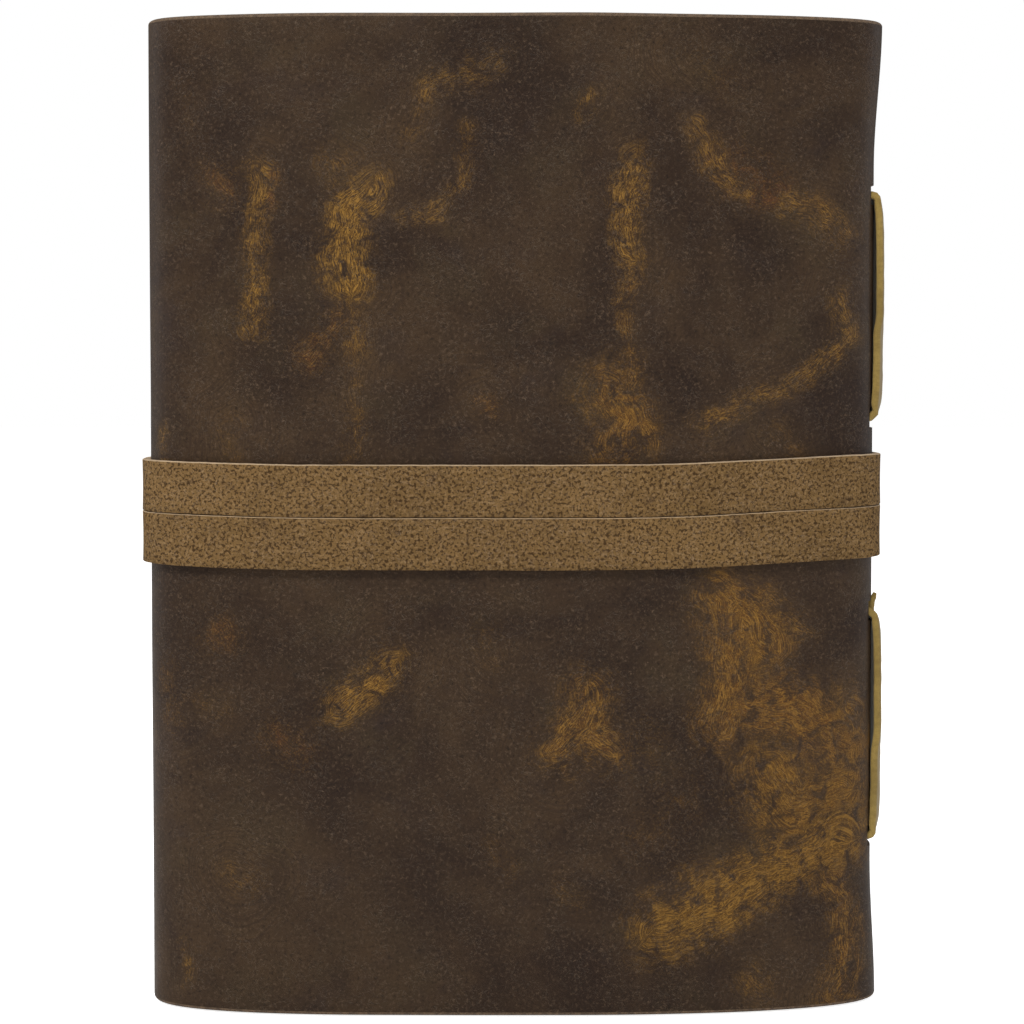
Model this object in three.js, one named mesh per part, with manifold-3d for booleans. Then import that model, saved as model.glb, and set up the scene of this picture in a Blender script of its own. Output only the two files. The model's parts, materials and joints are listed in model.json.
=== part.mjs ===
// Handmade wrap-around leather journal, closed and tied, standing on its tail edge.
//
// One hide makes the back cover, the spine, the front cover, the fore-edge wrap and the front flap.
// It is split here along its folds, so that each fold can be a hinge. Eight folded signatures are
// sewn to a liner, a leather thong laces the liner to the spine through four slots, and a strap that
// is stitched to the flap winds twice around the closed journal.
//
// Units are millimetres. +Z is up, the back cover faces -Y, the spine is at +X, the fore-edge at -X.

import * as THREE from 'three';
import { mergeVertices } from 'three/addons/utils/BufferGeometryUtils.js';
import Module from 'manifold-3d';

const wasm = await Module();
wasm.setup();

// ---- Driving dimensions ----------------------------------------------------------------------

const COVER_HEIGHT = 204;
const HALF_WIDTH = 75.5;         // middle of the journal to the outside of the spine or fore-edge
const HALF_THICKNESS = 17;       // middle of the spine to the outside of either cover
const HIDE = 2.0;                // leather thickness
const GAP = 0.3;                 // clearance between pieces that touch

const SPINE_FOLD_X = 69;         // where the covers are hinged to the spine
const WRAP_FOLD_X = -58;         // where the wrap is hinged to the back cover and to the flap
const FRONT_COVER_EDGE_X = -61;  // free edge of the front cover, under the flap
const FLAP_EDGE_X = 25;          // free edge of the flap, on the front

const PAPER_HEIGHT = 195;
const PAPER_EDGE_X = -62;        // fore-edge of the paper
const PAPER_FOLD_X = 63.4;       // centre of the folded edges
const SIGNATURES = 8;
const FOLD_RADIUS = 0.6;
const PAPER_TAPER_X = 52;        // the sewing squeezes the paper from here to its folds

const LINER_X = 65.2;
const LINER_THICKNESS = 0.8;
const LINER_HALF_WIDTH = 8.4;
const LINER_HEIGHT = 188;

const THREAD_RADIUS = 0.35;
const THREAD_STATIONS = { head: 184, upper: 134, lower: 70, tail: 20 };

const STRAP_WIDTH = 10.4;
const STRAP_THICKNESS = 1.7;
const STRAP_UPPER_Z = 101.95;    // lower edge of the upper turn
const STRAP_LOWER_Z = 91.25;     // lower edge of the lower turn
const STRAP_LIFT = 2.6;          // how far the crossing stands above the run beneath it

const THONG_WIDTH = 9;
const THONG_THICKNESS = 1.5;
const SLOT_HEIGHTS = [34.2, 81.6, 121.9, 168.2];
const SLOT_SIZE = { y: 10, z: 5.6 };

// The two rounded ends of the closed journal, seen from above, are halves of a superellipse.
const SPINE_END = { side: 1, centreY: 0, halfDepth: HALF_THICKNESS, power: 2.6 };
const WRAP_END = {
  side: -1,
  centreY: (HIDE + GAP) / 2,
  halfDepth: HALF_THICKNESS + (HIDE + GAP) / 2,
  power: 3.5,
};

const BACK = -1;
const FRONT = 1;

// ---- Plan outlines ---------------------------------------------------------------------------

// Outside of the hide at x, on the back or the front of the journal.
function skinY(x, face) {
  const end = x > 0 ? SPINE_END : WRAP_END;
  const reach = (1 - (Math.abs(x) / HALF_WIDTH) ** end.power) ** (1 / end.power);
  return end.centreY + face * end.halfDepth * reach;
}

function panelPoint(x, face) {
  return new THREE.Vector2(x, skinY(x, face));
}

// Stations from one x to another, closer together towards both ends, where the faces curve most.
function stations(fromX, toX, steps) {
  const found = [];
  for (let i = 0; i <= steps; i += 1) {
    found.push(fromX + (toX - fromX) * (1 - Math.cos(Math.PI * i / steps)) / 2);
  }
  return found;
}

// Points of one face.
function panelRoute(fromX, toX, face, steps) {
  return stations(fromX, toX, steps).map((x) => panelPoint(x, face));
}

// Points round an end, from its back fold at foldX to its front fold. A fold closer to the middle
// takes in more of the face.
function endRoute(end, foldX, steps) {
  const limit = Math.acos((Math.abs(foldX) / HALF_WIDTH) ** (end.power / 2));
  const points = [];
  for (let i = 0; i <= steps; i += 1) {
    const angle = limit * (2 * i / steps - 1);
    const across = Math.abs(Math.cos(angle)) ** (2 / end.power);
    const along = Math.sign(angle) * Math.abs(Math.sin(angle)) ** (2 / end.power);
    points.push(new THREE.Vector2(
      end.side * HALF_WIDTH * across,
      end.centreY + end.halfDepth * along,
    ));
  }
  return points;
}

// The same route moved sideways by a distance: positive to the left of its direction.
function offsetRoute(points, distance) {
  return points.map((point, i) => {
    const before = points[Math.max(i - 1, 0)];
    const after = points[Math.min(i + 1, points.length - 1)];
    const along = after.clone().sub(before).normalize();
    return new THREE.Vector2(point.x - along.y * distance, point.y + along.x * distance);
  });
}

// A closed outline between a route and the same route moved sideways.
function ribbonShape(points, thickness) {
  return new THREE.Shape([...points, ...offsetRoute(points, thickness).reverse()]);
}

// Shortens a route at either end, so that neighbours along the hide keep their gap.
function trimRoute(points, atStart, atEnd) {
  const route = points.map((point) => point.clone());
  const last = route.length - 1;
  route[0].add(route[1].clone().sub(route[0]).setLength(atStart));
  route[last].add(route[last - 1].clone().sub(route[last]).setLength(atEnd));
  return route;
}

// ---- Solids ----------------------------------------------------------------------------------

function upright(shape, height, bottom) {
  const geometry = new THREE.ExtrudeGeometry(shape, { depth: height, bevelEnabled: false });
  geometry.translate(0, 0, bottom);
  return geometry;
}

// Moves every vertex up or down by an amount that depends on its x.
function slope(geometry, riseAt) {
  const position = geometry.attributes.position;
  for (let i = 0; i < position.count; i += 1) {
    position.setZ(i, position.getZ(i) + riseAt(position.getX(i)));
  }
  return geometry;
}

function toSolid(geometry) {
  const bare = geometry.clone();
  bare.deleteAttribute('normal');
  bare.deleteAttribute('uv');
  const merged = mergeVertices(bare, 1e-4);
  return new wasm.Manifold(new wasm.Mesh({
    numProp: 3,
    vertProperties: new Float32Array(merged.attributes.position.array),
    triVerts: new Uint32Array(merged.index.array),
  }));
}

function toGeometry(solid) {
  const mesh = solid.getMesh();
  const geometry = new THREE.BufferGeometry();
  geometry.setAttribute('position', new THREE.BufferAttribute(mesh.vertProperties, 3));
  geometry.setIndex(new THREE.BufferAttribute(mesh.triVerts, 1));
  geometry.computeVertexNormals();
  return geometry;
}

// ---- Materials -------------------------------------------------------------------------------

const leather = new THREE.MeshStandardMaterial({ color: 0x43352a, roughness: 0.55, metalness: 0 });
const strapLeather = new THREE.MeshStandardMaterial({ color: 0x6e573a, roughness: 0.85, metalness: 0 });
const thongLeather = new THREE.MeshStandardMaterial({ color: 0x7a6a3c, roughness: 0.8, metalness: 0 });
const paper = new THREE.MeshStandardMaterial({ color: 0xe6dcc3, roughness: 0.95, metalness: 0 });
const cloth = new THREE.MeshStandardMaterial({ color: 0xb9a988, roughness: 0.95, metalness: 0 });
const linen = new THREE.MeshStandardMaterial({ color: 0xd8cdb2, roughness: 0.9, metalness: 0 });

const journal = new THREE.Group();

function place(name, geometry, material) {
  const mesh = new THREE.Mesh(geometry, material);
  mesh.name = name;
  journal.add(mesh);
}

// ---- Hide ------------------------------------------------------------------------------------

const PANEL_STEPS = 20;
const END_STEPS = 18;
const INWARD = HIDE;             // routes below run with the inside of the journal on their left

// From the fore-edge fold along the back to the spine fold.
const backRoute = panelRoute(WRAP_FOLD_X, SPINE_FOLD_X, BACK, PANEL_STEPS);
place('back_cover', upright(ribbonShape(backRoute, INWARD), COVER_HEIGHT, 0), leather);

// Round the spine from the back cover to the front cover, with four slots for the thong.
const spineRoute = trimRoute(endRoute(SPINE_END, SPINE_FOLD_X, END_STEPS), GAP, GAP);
let spine = toSolid(upright(ribbonShape(spineRoute, INWARD), COVER_HEIGHT, 0));
for (const height of SLOT_HEIGHTS) {
  const slot = new THREE.BoxGeometry(4 * HIDE, SLOT_SIZE.y, SLOT_SIZE.z);
  slot.translate(HALF_WIDTH, 0, height);
  spine = spine.subtract(toSolid(slot));
}
place('spine_panel', toGeometry(spine), leather);

// From the spine fold to the free edge, one hide and a gap inside the flap beyond the middle.
function frontCoverPoint(x) {
  const underFlap = x > 0 ? 0 : HIDE + GAP;
  return new THREE.Vector2(x, skinY(x, FRONT) - underFlap);
}

const frontRoute = stations(SPINE_FOLD_X, FRONT_COVER_EDGE_X, PANEL_STEPS).map(frontCoverPoint);
place('front_cover', upright(ribbonShape(frontRoute, INWARD), COVER_HEIGHT, 0), leather);

// Round the fore-edge, from the front back to the back cover.
const wrapRoute = trimRoute(endRoute(WRAP_END, WRAP_FOLD_X, END_STEPS).reverse(), GAP, GAP);
place('fore_edge_wrap', upright(ribbonShape(wrapRoute, INWARD), COVER_HEIGHT, 0), leather);

// Over the front cover, from its free edge back to the fore-edge fold.
function flapY(x) {
  return x > 0 ? skinY(x, FRONT) + HIDE + GAP : skinY(x, FRONT);
}

const flapRoute = stations(FLAP_EDGE_X, WRAP_FOLD_X, PANEL_STEPS)
  .map((x) => new THREE.Vector2(x, flapY(x)));
place('front_flap', upright(ribbonShape(flapRoute, INWARD), COVER_HEIGHT, 0), leather);

// ---- Text block ------------------------------------------------------------------------------

const BLOCK_CLEARANCE = HIDE + 2 * GAP;

// The block fills the space between the covers, so each signature is thinnest at its fold.
function leafY(x, fraction) {
  const back = skinY(x, BACK) + BLOCK_CLEARANCE;
  const front = frontCoverPoint(x).y - BLOCK_CLEARANCE;
  return back + (front - back) * fraction;
}

function signatureShape(index) {
  const low = index / SIGNATURES;
  const high = (index + 1) / SIGNATURES;
  const steps = 10;
  const back = [];
  const front = [];
  for (let i = 0; i <= steps; i += 1) {
    const x = PAPER_EDGE_X + (PAPER_TAPER_X - PAPER_EDGE_X) * i / steps;
    back.push(new THREE.Vector2(x, leafY(x, low) + GAP / 2));
    front.push(new THREE.Vector2(x, leafY(x, high) - GAP / 2));
  }
  const foldY = leafY(PAPER_FOLD_X, (low + high) / 2);
  const fold = [];
  const foldSteps = 6;
  for (let i = 0; i <= foldSteps; i += 1) {
    const angle = Math.PI * (i / foldSteps - 0.5);
    fold.push(new THREE.Vector2(
      PAPER_FOLD_X + FOLD_RADIUS * Math.cos(angle),
      foldY + FOLD_RADIUS * Math.sin(angle),
    ));
  }
  return new THREE.Shape([...back, ...fold, ...front.reverse()]);
}

const paperBottom = (COVER_HEIGHT - PAPER_HEIGHT) / 2;
for (let i = 0; i < SIGNATURES; i += 1) {
  place(`signature_${i + 1}`, upright(signatureShape(i), PAPER_HEIGHT, paperBottom), paper);
}

// ---- Liner and sewing ------------------------------------------------------------------------

const liner = new THREE.BoxGeometry(LINER_THICKNESS, 2 * LINER_HALF_WIDTH, LINER_HEIGHT);
liner.translate(LINER_X + LINER_THICKNESS / 2, 0, COVER_HEIGHT / 2);
place('spine_liner', liner, cloth);

// Each station is one run of link stitches across all the folds.
const threadX = PAPER_FOLD_X + FOLD_RADIUS + (LINER_X - PAPER_FOLD_X - FOLD_RADIUS) / 2;
for (const [station, height] of Object.entries(THREAD_STATIONS)) {
  const thread = new THREE.CylinderGeometry(THREAD_RADIUS, THREAD_RADIUS, 2 * LINER_HALF_WIDTH, 10);
  thread.translate(threadX, 0, height);
  place(`sewing_thread_${station}`, thread, linen);
}

// ---- Lacing thong ----------------------------------------------------------------------------

// The strip's middle line, as x and z: inside, out through a slot, along the spine and in again.
function thongRoute() {
  const insideX = HALF_WIDTH - HIDE - 2.9;
  const slotX = HALF_WIDTH - HIDE / 2;
  const bowX = HALF_WIDTH + 1.4;
  const peakX = HALF_WIDTH + 1.95;
  const tail = 13;               // length left inside beyond the first and last slots
  const turn = 3.4;              // height over which the strip passes through a slot
  const [first, second, third, fourth] = SLOT_HEIGHTS;
  const bow = (low, high) => [
    [slotX, low],
    [bowX, low + turn],
    [peakX, (low + high) / 2],
    [bowX, high - turn],
    [slotX, high],
  ];
  const stops = [
    [insideX, first + tail],
    [insideX, first + turn],
    ...bow(first, second),
    [insideX, second + turn],
    [insideX, third - turn],
    ...bow(third, fourth),
    [insideX, fourth - turn],
    [insideX, fourth - tail],
  ];
  const curve = new THREE.CatmullRomCurve3(
    stops.map(([x, z]) => new THREE.Vector3(x, z, 0)),
    false,
    'centripetal',
  );
  return curve.getSpacedPoints(110).map((point) => new THREE.Vector2(point.x, point.y));
}

const thongCentre = thongRoute();
const thongShape = new THREE.Shape([
  ...offsetRoute(thongCentre, -THONG_THICKNESS / 2),
  ...offsetRoute(thongCentre, THONG_THICKNESS / 2).reverse(),
]);
const thong = new THREE.ExtrudeGeometry(thongShape, { depth: THONG_WIDTH, bevelEnabled: false });
thong.rotateX(Math.PI / 2);
thong.translate(0, THONG_WIDTH / 2, 0);
place('lacing_thong', thong, thongLeather);

// ---- Strap -----------------------------------------------------------------------------------

const STRAP_SPINE_X = 56;        // the strap leaves the covers for the spine here
const STRAP_WRAP_X = -61;        // and for the fore-edge here
const SPACING = 3;               // step in x between neighbouring stretches of the strap
const ANCHOR_START_X = 3;
const ANCHOR_END_X = 40;
const CROSSING_START_X = -24;
const CROSSING_END_X = 50;
const TAIL_START_X = -52;
const TAIL_TIP_X = -4;
const LEAD = 2;                  // level length before the strap climbs onto another run
const RAMP = 9;                  // length over which it climbs

function smooth(value) {
  const t = THREE.MathUtils.clamp(value, 0, 1);
  return t * t * (3 - 2 * t);
}

// What the strap rests on along the front: the flap, then the front cover beyond its free edge.
function frontBedY(x) {
  const past = smooth((x - FLAP_EDGE_X) / (ANCHOR_END_X - FLAP_EDGE_X));
  return THREE.MathUtils.lerp(flapY(x), skinY(x, FRONT), past) + GAP;
}

function frontRun(fromX, toX, steps, liftAt = () => 0) {
  const points = [];
  for (let i = 0; i <= steps; i += 1) {
    const x = fromX + (toX - fromX) * i / steps;
    points.push(new THREE.Vector2(x, frontBedY(x) + liftAt(x)));
  }
  return points;
}

// One whole turn: front, round the spine, along the back and round the fore-edge to the front.
function turnRoute(fromX, toX) {
  const beforeSpine = STRAP_SPINE_X - SPACING;
  const afterWrap = STRAP_WRAP_X + SPACING;
  const roundSpine = offsetRoute(endRoute(SPINE_END, STRAP_SPINE_X, 16), -GAP).reverse();
  const alongBack = offsetRoute(panelRoute(afterWrap, beforeSpine, BACK, 10), -GAP).reverse();
  const roundForeEdge = offsetRoute(endRoute(WRAP_END, STRAP_WRAP_X, 16), GAP);
  return [
    ...frontRun(fromX, beforeSpine, 4),
    ...roundSpine,
    ...alongBack,
    ...roundForeEdge,
    ...frontRun(afterWrap, toX, 6),
  ];
}

function strapRun(route, bottom) {
  const shape = ribbonShape(route, STRAP_THICKNESS);
  return upright(shape, STRAP_WIDTH, bottom);
}

const anchorRoute = frontRun(ANCHOR_START_X, ANCHOR_END_X - GAP, 8);
place('strap_anchor_run', strapRun(anchorRoute, STRAP_UPPER_Z), strapLeather);

const upperTurn = strapRun(turnRoute(ANCHOR_END_X, CROSSING_START_X), STRAP_UPPER_Z);
place('strap_upper_turn', upperTurn, strapLeather);

// The strap climbs over its own anchor while it slopes down to the level of the second turn.
function crossingLift(x) {
  const up = smooth((x - CROSSING_START_X - LEAD) / RAMP);
  const down = smooth((x - (CROSSING_END_X - LEAD - RAMP)) / RAMP);
  return STRAP_LIFT * (up - down);
}

function crossingDrop(x) {
  const start = CROSSING_START_X + LEAD + RAMP;
  const end = CROSSING_END_X - LEAD - RAMP;
  return (STRAP_LOWER_Z - STRAP_UPPER_Z) * smooth((x - start) / (end - start));
}

const crossingRoute = frontRun(CROSSING_START_X + GAP, CROSSING_END_X - GAP, 40, crossingLift);
const crossing = slope(strapRun(crossingRoute, STRAP_UPPER_Z), crossingDrop);
place('strap_crossing', crossing, strapLeather);

const lowerTurn = strapRun(turnRoute(CROSSING_END_X, TAIL_START_X - GAP), STRAP_LOWER_Z);
place('strap_lower_turn', lowerTurn, strapLeather);

// The free end lies along the front, with its tip tucked under the crossing.
const tailRoute = frontRun(TAIL_START_X, TAIL_TIP_X, 8);
place('strap_tail', strapRun(tailRoute, STRAP_LOWER_Z), strapLeather);

// A row of stitches holds the anchored end of the strap to the flap.
const STITCH_LENGTH = 3.2;
const STITCH_RADIUS = 0.35;
const STITCH_COUNT = 3;
const STITCH_INSET = 2.2;
for (let i = 0; i < STITCH_COUNT; i += 1) {
  const x = ANCHOR_START_X + STITCH_INSET + i * (STITCH_LENGTH + 1);
  const stitch = new THREE.CylinderGeometry(STITCH_RADIUS, STITCH_RADIUS, STITCH_LENGTH, 8);
  stitch.rotateZ(Math.PI / 2);
  stitch.translate(
    x + STITCH_LENGTH / 2,
    frontBedY(x) + STRAP_THICKNESS + GAP + STITCH_RADIUS,
    STRAP_UPPER_Z + STRAP_WIDTH - STITCH_INSET,
  );
  place(`anchor_stitch_${i + 1}`, stitch, linen);
}

// ---- Frame -----------------------------------------------------------------------------------

// The origin is on the surface that the journal stands on, under the middle of its box.
const box = new THREE.Box3().setFromObject(journal);
const middle = box.getCenter(new THREE.Vector3());
journal.position.set(-middle.x, -middle.y, -box.min.z);

export default journal;
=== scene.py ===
import json
import math

import bpy
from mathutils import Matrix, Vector, noise


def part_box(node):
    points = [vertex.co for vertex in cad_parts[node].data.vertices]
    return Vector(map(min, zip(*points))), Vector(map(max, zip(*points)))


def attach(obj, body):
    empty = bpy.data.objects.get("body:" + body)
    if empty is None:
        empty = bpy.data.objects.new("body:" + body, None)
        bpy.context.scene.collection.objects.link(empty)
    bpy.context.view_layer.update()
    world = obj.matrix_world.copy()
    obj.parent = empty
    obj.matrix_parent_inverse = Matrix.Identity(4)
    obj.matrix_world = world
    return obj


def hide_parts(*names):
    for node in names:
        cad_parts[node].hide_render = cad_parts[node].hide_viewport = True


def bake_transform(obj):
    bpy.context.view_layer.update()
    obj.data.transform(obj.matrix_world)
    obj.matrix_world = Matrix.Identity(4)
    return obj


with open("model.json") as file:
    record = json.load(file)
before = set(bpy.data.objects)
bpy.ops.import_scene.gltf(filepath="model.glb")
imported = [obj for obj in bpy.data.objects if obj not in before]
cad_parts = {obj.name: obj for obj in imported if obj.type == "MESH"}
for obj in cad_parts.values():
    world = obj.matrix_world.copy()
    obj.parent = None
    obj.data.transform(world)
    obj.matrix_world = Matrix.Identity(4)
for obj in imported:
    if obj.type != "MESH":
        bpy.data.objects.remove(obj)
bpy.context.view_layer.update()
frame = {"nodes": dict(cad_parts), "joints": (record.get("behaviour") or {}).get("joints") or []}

bl_info = {
    "name": "Wrap-around leather journal",
    "version": (1, 0, 0),
    "blender": (4, 5, 0),
    "location": "3D View > Sidebar > Journal",
    "description": "Builds the hide, paper, lacing and strap of a handmade journal round its frame",
    "category": "Object",
}

MM = 0.001
BACK = -1
FRONT = 1

# ---- Sizes read from the frame -----------------------------------------------------------------

back_low, back_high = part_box("back_cover")
spine_low, spine_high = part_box("spine_panel")
wrap_low, wrap_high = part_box("fore_edge_wrap")
front_low, front_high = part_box("front_cover")
flap_low, flap_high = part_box("front_flap")

HEIGHT = back_high.z
HALF_WIDTH = (spine_high.x - wrap_low.x) / 2
CENTRE_X = (spine_high.x + wrap_low.x) / 2
HALF_DEPTH = (front_high.y - back_low.y) / 2
CENTRE_Y = (front_high.y + back_low.y) / 2
FLAP_RISE = 2.3 * MM                       # the flap lies one hide and a gap over the front cover
SPINE_POWER = 2.6                          # roundness of the spine, seen from above
WRAP_POWER = 3.5                           # roundness of the fore-edge

COVER_EDGE_X = front_low.x - CENTRE_X
FLAP_EDGE_X = flap_high.x - CENTRE_X

STRAP_Z = {
    "upper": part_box("strap_upper_turn")[0].z,
    "lower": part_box("strap_lower_turn")[0].z,
}
STRAP_BAND = (STRAP_Z["lower"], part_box("strap_upper_turn")[1].z)

JOINTS = {joint["name"]: joint for joint in frame["joints"]}


# ---- What a user would change ------------------------------------------------------------------

class JournalSizes(bpy.types.PropertyGroup):
    """Thicknesses and finish sizes of the journal's pieces."""

    hide: bpy.props.FloatProperty(
        name="Hide thickness", description="Thickness of the cover leather",
        default=2.0 * MM, unit="LENGTH", precision=4)
    strap: bpy.props.FloatProperty(
        name="Strap thickness", description="Thickness of the strap leather",
        default=1.7 * MM, unit="LENGTH", precision=4)
    strap_width: bpy.props.FloatProperty(
        name="Strap width", description="Width of the strap from cut edge to cut edge",
        default=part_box("strap_upper_turn")[1].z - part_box("strap_upper_turn")[0].z + 0.24 * MM,
        unit="LENGTH", precision=4)
    thong: bpy.props.FloatProperty(
        name="Thong thickness", description="Thickness of the lacing thong",
        default=1.5 * MM, unit="LENGTH", precision=4)
    flare: bpy.props.FloatProperty(
        name="Spine flare", description="How far the spine opens out at its head and tail",
        default=1.55 * MM, unit="LENGTH", precision=4)
    sheets: bpy.props.IntProperty(
        name="Folded sheets", description="Folded sheets shown in each signature",
        default=5, min=2, max=8)


class JournalColours(bpy.types.PropertyGroup):
    """Colours of the journal's leathers, paper and thread."""

    hide: bpy.props.FloatVectorProperty(
        name="Hide", description="Oiled dark brown of the cover",
        default=(0.0205, 0.0112, 0.0072), size=3, subtype="COLOR")
    hide_light: bpy.props.FloatVectorProperty(
        name="Hide, lighter", description="Lighter brown that mottles the cover",
        default=(0.0560, 0.0325, 0.0160), size=3, subtype="COLOR")
    rubbed: bpy.props.FloatVectorProperty(
        name="Rubbed", description="Golden tan where the wax has been pulled out",
        default=(0.098, 0.0485, 0.0098), size=3, subtype="COLOR")
    rubbed_red: bpy.props.FloatVectorProperty(
        name="Rubbed, red", description="Rust brown of the lightly rubbed spots",
        default=(0.105, 0.035, 0.0130), size=3, subtype="COLOR")
    rubbed_line: bpy.props.FloatVectorProperty(
        name="Rubbed lines", description="Bright golden wrinkles in the rubbed leather",
        default=(0.345, 0.182, 0.036), size=3, subtype="COLOR")
    flesh: bpy.props.FloatVectorProperty(
        name="Flesh side", description="Suede on the inside of the hide",
        default=(0.21, 0.125, 0.066), size=3, subtype="COLOR")
    strap: bpy.props.FloatVectorProperty(
        name="Strap", description="Matte brown of the strap",
        default=(0.150, 0.088, 0.034), size=3, subtype="COLOR")
    strap_edge: bpy.props.FloatVectorProperty(
        name="Strap edge", description="Pale raw fibres of the strap's cut edge",
        default=(0.50, 0.36, 0.22), size=3, subtype="COLOR")
    thong: bpy.props.FloatVectorProperty(
        name="Thong", description="Ochre of the lacing thong",
        default=(0.270, 0.186, 0.052), size=3, subtype="COLOR")
    paper: bpy.props.FloatVectorProperty(
        name="Paper", description="Cream of the handmade paper",
        default=(0.74, 0.65, 0.49), size=3, subtype="COLOR")
    thread: bpy.props.FloatVectorProperty(
        name="Thread", description="Waxed linen thread",
        default=(0.56, 0.47, 0.32), size=3, subtype="COLOR")


class JournalStage(bpy.types.PropertyGroup):
    """Camera, floor and lights."""

    distance: bpy.props.FloatProperty(
        name="Camera distance", description="From the back cover to the camera",
        default=0.420, unit="LENGTH")
    height: bpy.props.FloatProperty(
        name="Camera height", description="Height of the camera over the floor",
        default=0.137, unit="LENGTH")
    aside: bpy.props.FloatProperty(
        name="Camera aside", description="Camera's distance towards the spine from the middle",
        default=0.0, unit="LENGTH", precision=4)
    tilt: bpy.props.FloatProperty(
        name="Camera tilt", description="How far the camera looks down",
        default=math.radians(2.1), subtype="ANGLE")
    lens: bpy.props.FloatProperty(
        name="Lens", description="Focal length in millimetres on a 36 mm sensor", default=73.15)
    shift: bpy.props.FloatProperty(
        name="Shift", description="Vertical shift of the picture that frames the journal",
        default=-0.0883, precision=4)
    floor: bpy.props.FloatVectorProperty(
        name="Floor", description="Pale floor colour", default=(0.86, 0.86, 0.86), size=3,
        subtype="COLOR")


def sizes():
    return bpy.context.scene.journal_sizes


def colours():
    return bpy.context.scene.journal_colours


# ---- Routes in plan ----------------------------------------------------------------------------
# A route is a list of points as seen from above, measured from the middle of the closed journal.

def skin_y(x, face):
    """Outside of the hide at x, on the back or the front."""
    if x > 0:
        reach = (1 - (x / HALF_WIDTH) ** SPINE_POWER) ** (1 / SPINE_POWER)
        return face * HALF_DEPTH * reach
    reach = (1 - (-x / HALF_WIDTH) ** WRAP_POWER) ** (1 / WRAP_POWER)
    middle = FLAP_RISE / 2
    return middle + face * (HALF_DEPTH + middle) * reach


def flap_y(x):
    """Outside of the hide on the front, where the flap lies over the cover."""
    return skin_y(x, FRONT) + (FLAP_RISE if x > 0 else 0)


def cover_y(x):
    """Outside of the front cover, which runs in under the wrap."""
    return skin_y(x, FRONT) - (0 if x > 0 else FLAP_RISE)


def smooth(value):
    """0 below 0, 1 above 1, and a soft step between."""
    t = min(max(value, 0.0), 1.0)
    return t * t * (3 - 2 * t)


def curve_points(path, start, end, count=200):
    """Points (x, path(x)) from one x to another."""
    found = []
    for i in range(count + 1):
        x = start + (end - start) * i / count
        found.append(Vector((x, path(x))))
    return found


def spine_quarter(face, fold_x=0.0, count=300):
    """From the face at fold_x to the outermost point of the spine."""
    limit = math.acos((fold_x / HALF_WIDTH) ** (SPINE_POWER / 2))
    found = []
    for i in range(count + 1):
        angle = limit * (1 - i / count)
        x = HALF_WIDTH * abs(math.cos(angle)) ** (2 / SPINE_POWER)
        y = face * HALF_DEPTH * abs(math.sin(angle)) ** (2 / SPINE_POWER)
        found.append(Vector((x, y)))
    return found


def wrap_quarter(face, fold_x, count=300):
    """From the face at fold_x to the outermost point of the fore-edge."""
    limit = math.acos((-fold_x / HALF_WIDTH) ** (WRAP_POWER / 2))
    middle = FLAP_RISE / 2
    found = []
    for i in range(count + 1):
        angle = limit * (1 - i / count)
        x = -HALF_WIDTH * abs(math.cos(angle)) ** (2 / WRAP_POWER)
        y = middle + face * (HALF_DEPTH + middle) * abs(math.sin(angle)) ** (2 / WRAP_POWER)
        found.append(Vector((x, y)))
    return found


def evenly(points, spacing):
    """The same route with its points a set distance apart."""
    lengths = [0.0]
    for before, after in zip(points, points[1:]):
        lengths.append(lengths[-1] + (after - before).length)
    count = max(2, round(lengths[-1] / spacing))
    found = []
    k = 0
    for i in range(count + 1):
        want = lengths[-1] * i / count
        while k < len(points) - 2 and lengths[k + 1] < want:
            k += 1
        span = max(lengths[k + 1] - lengths[k], 1e-12)
        found.append(points[k].lerp(points[k + 1], (want - lengths[k]) / span))
    return found


def offset(points, distance):
    """The route moved sideways: positive to the left of its direction."""
    found = []
    for i, point in enumerate(points):
        along = points[min(i + 1, len(points) - 1)] - points[max(i - 1, 0)]
        along = along.normalized()
        found.append(Vector((point.x - along.y * distance, point.y + along.x * distance)))
    return found


def normals(points):
    """The direction to the right of the route at each point, which is the outside of the journal."""
    found = []
    for before, after in zip([points[0]] + points[:-1], points[1:] + [points[-1]]):
        along = (after - before).normalized()
        found.append(Vector((along.y, -along.x)))
    return found


def run_lengths(points, start):
    """Distance along the route at each point, counted from a starting value."""
    found = [start]
    for before, after in zip(points, points[1:]):
        found.append(found[-1] + (after - before).length)
    return found


# ---- Swept strips ------------------------------------------------------------------------------
# Every flat piece is a strip: a rounded cross-section carried along a route. Its faces are of three
# kinds, the outer face, the inner face and the cut edge, and each kind has its own material.

OUTER, INNER, EDGE = 0, 1, 2


def strip_section(width, thickness, rounding, outer_step, inner_step, corner=4):
    """Points (depth under the outer face, place across the width, kind of the face that follows)."""
    points = []
    low, high = rounding, width - rounding
    outer_count = max(1, round((high - low) / outer_step))
    inner_count = max(1, round((high - low) / inner_step))
    for i in range(outer_count):
        points.append((0.0, low + (high - low) * i / outer_count, OUTER))
    for side, start in ((1, 0), (-1, 180)):
        for i in range(2 * corner):
            angle = math.radians(start + 180 * i / (2 * corner))
            depth = thickness / 2 * (1 - math.cos(angle))
            edge = high if side > 0 else low
            points.append((depth, edge + rounding * math.sin(angle), EDGE))
        if side > 0:
            for i in range(inner_count):
                points.append((thickness, high - (high - low) * i / inner_count, INNER))
    return points


def strip_grid(name, along, across):
    """A flat grid, the start of a strip. Returns the piece and the (along, across) of each point."""
    bpy.ops.object.select_all(action="DESELECT")
    bpy.ops.mesh.primitive_grid_add(x_subdivisions=along - 1, y_subdivisions=across - 1, size=1.0)
    piece = bpy.context.object
    piece.name = name
    piece.data.name = name
    places = []
    for vertex in piece.data.vertices:
        i = round((vertex.co.x + 0.5) * (along - 1))
        j = round((vertex.co.y + 0.5) * (across - 1))
        places.append((i, j))
    return piece, places


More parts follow.
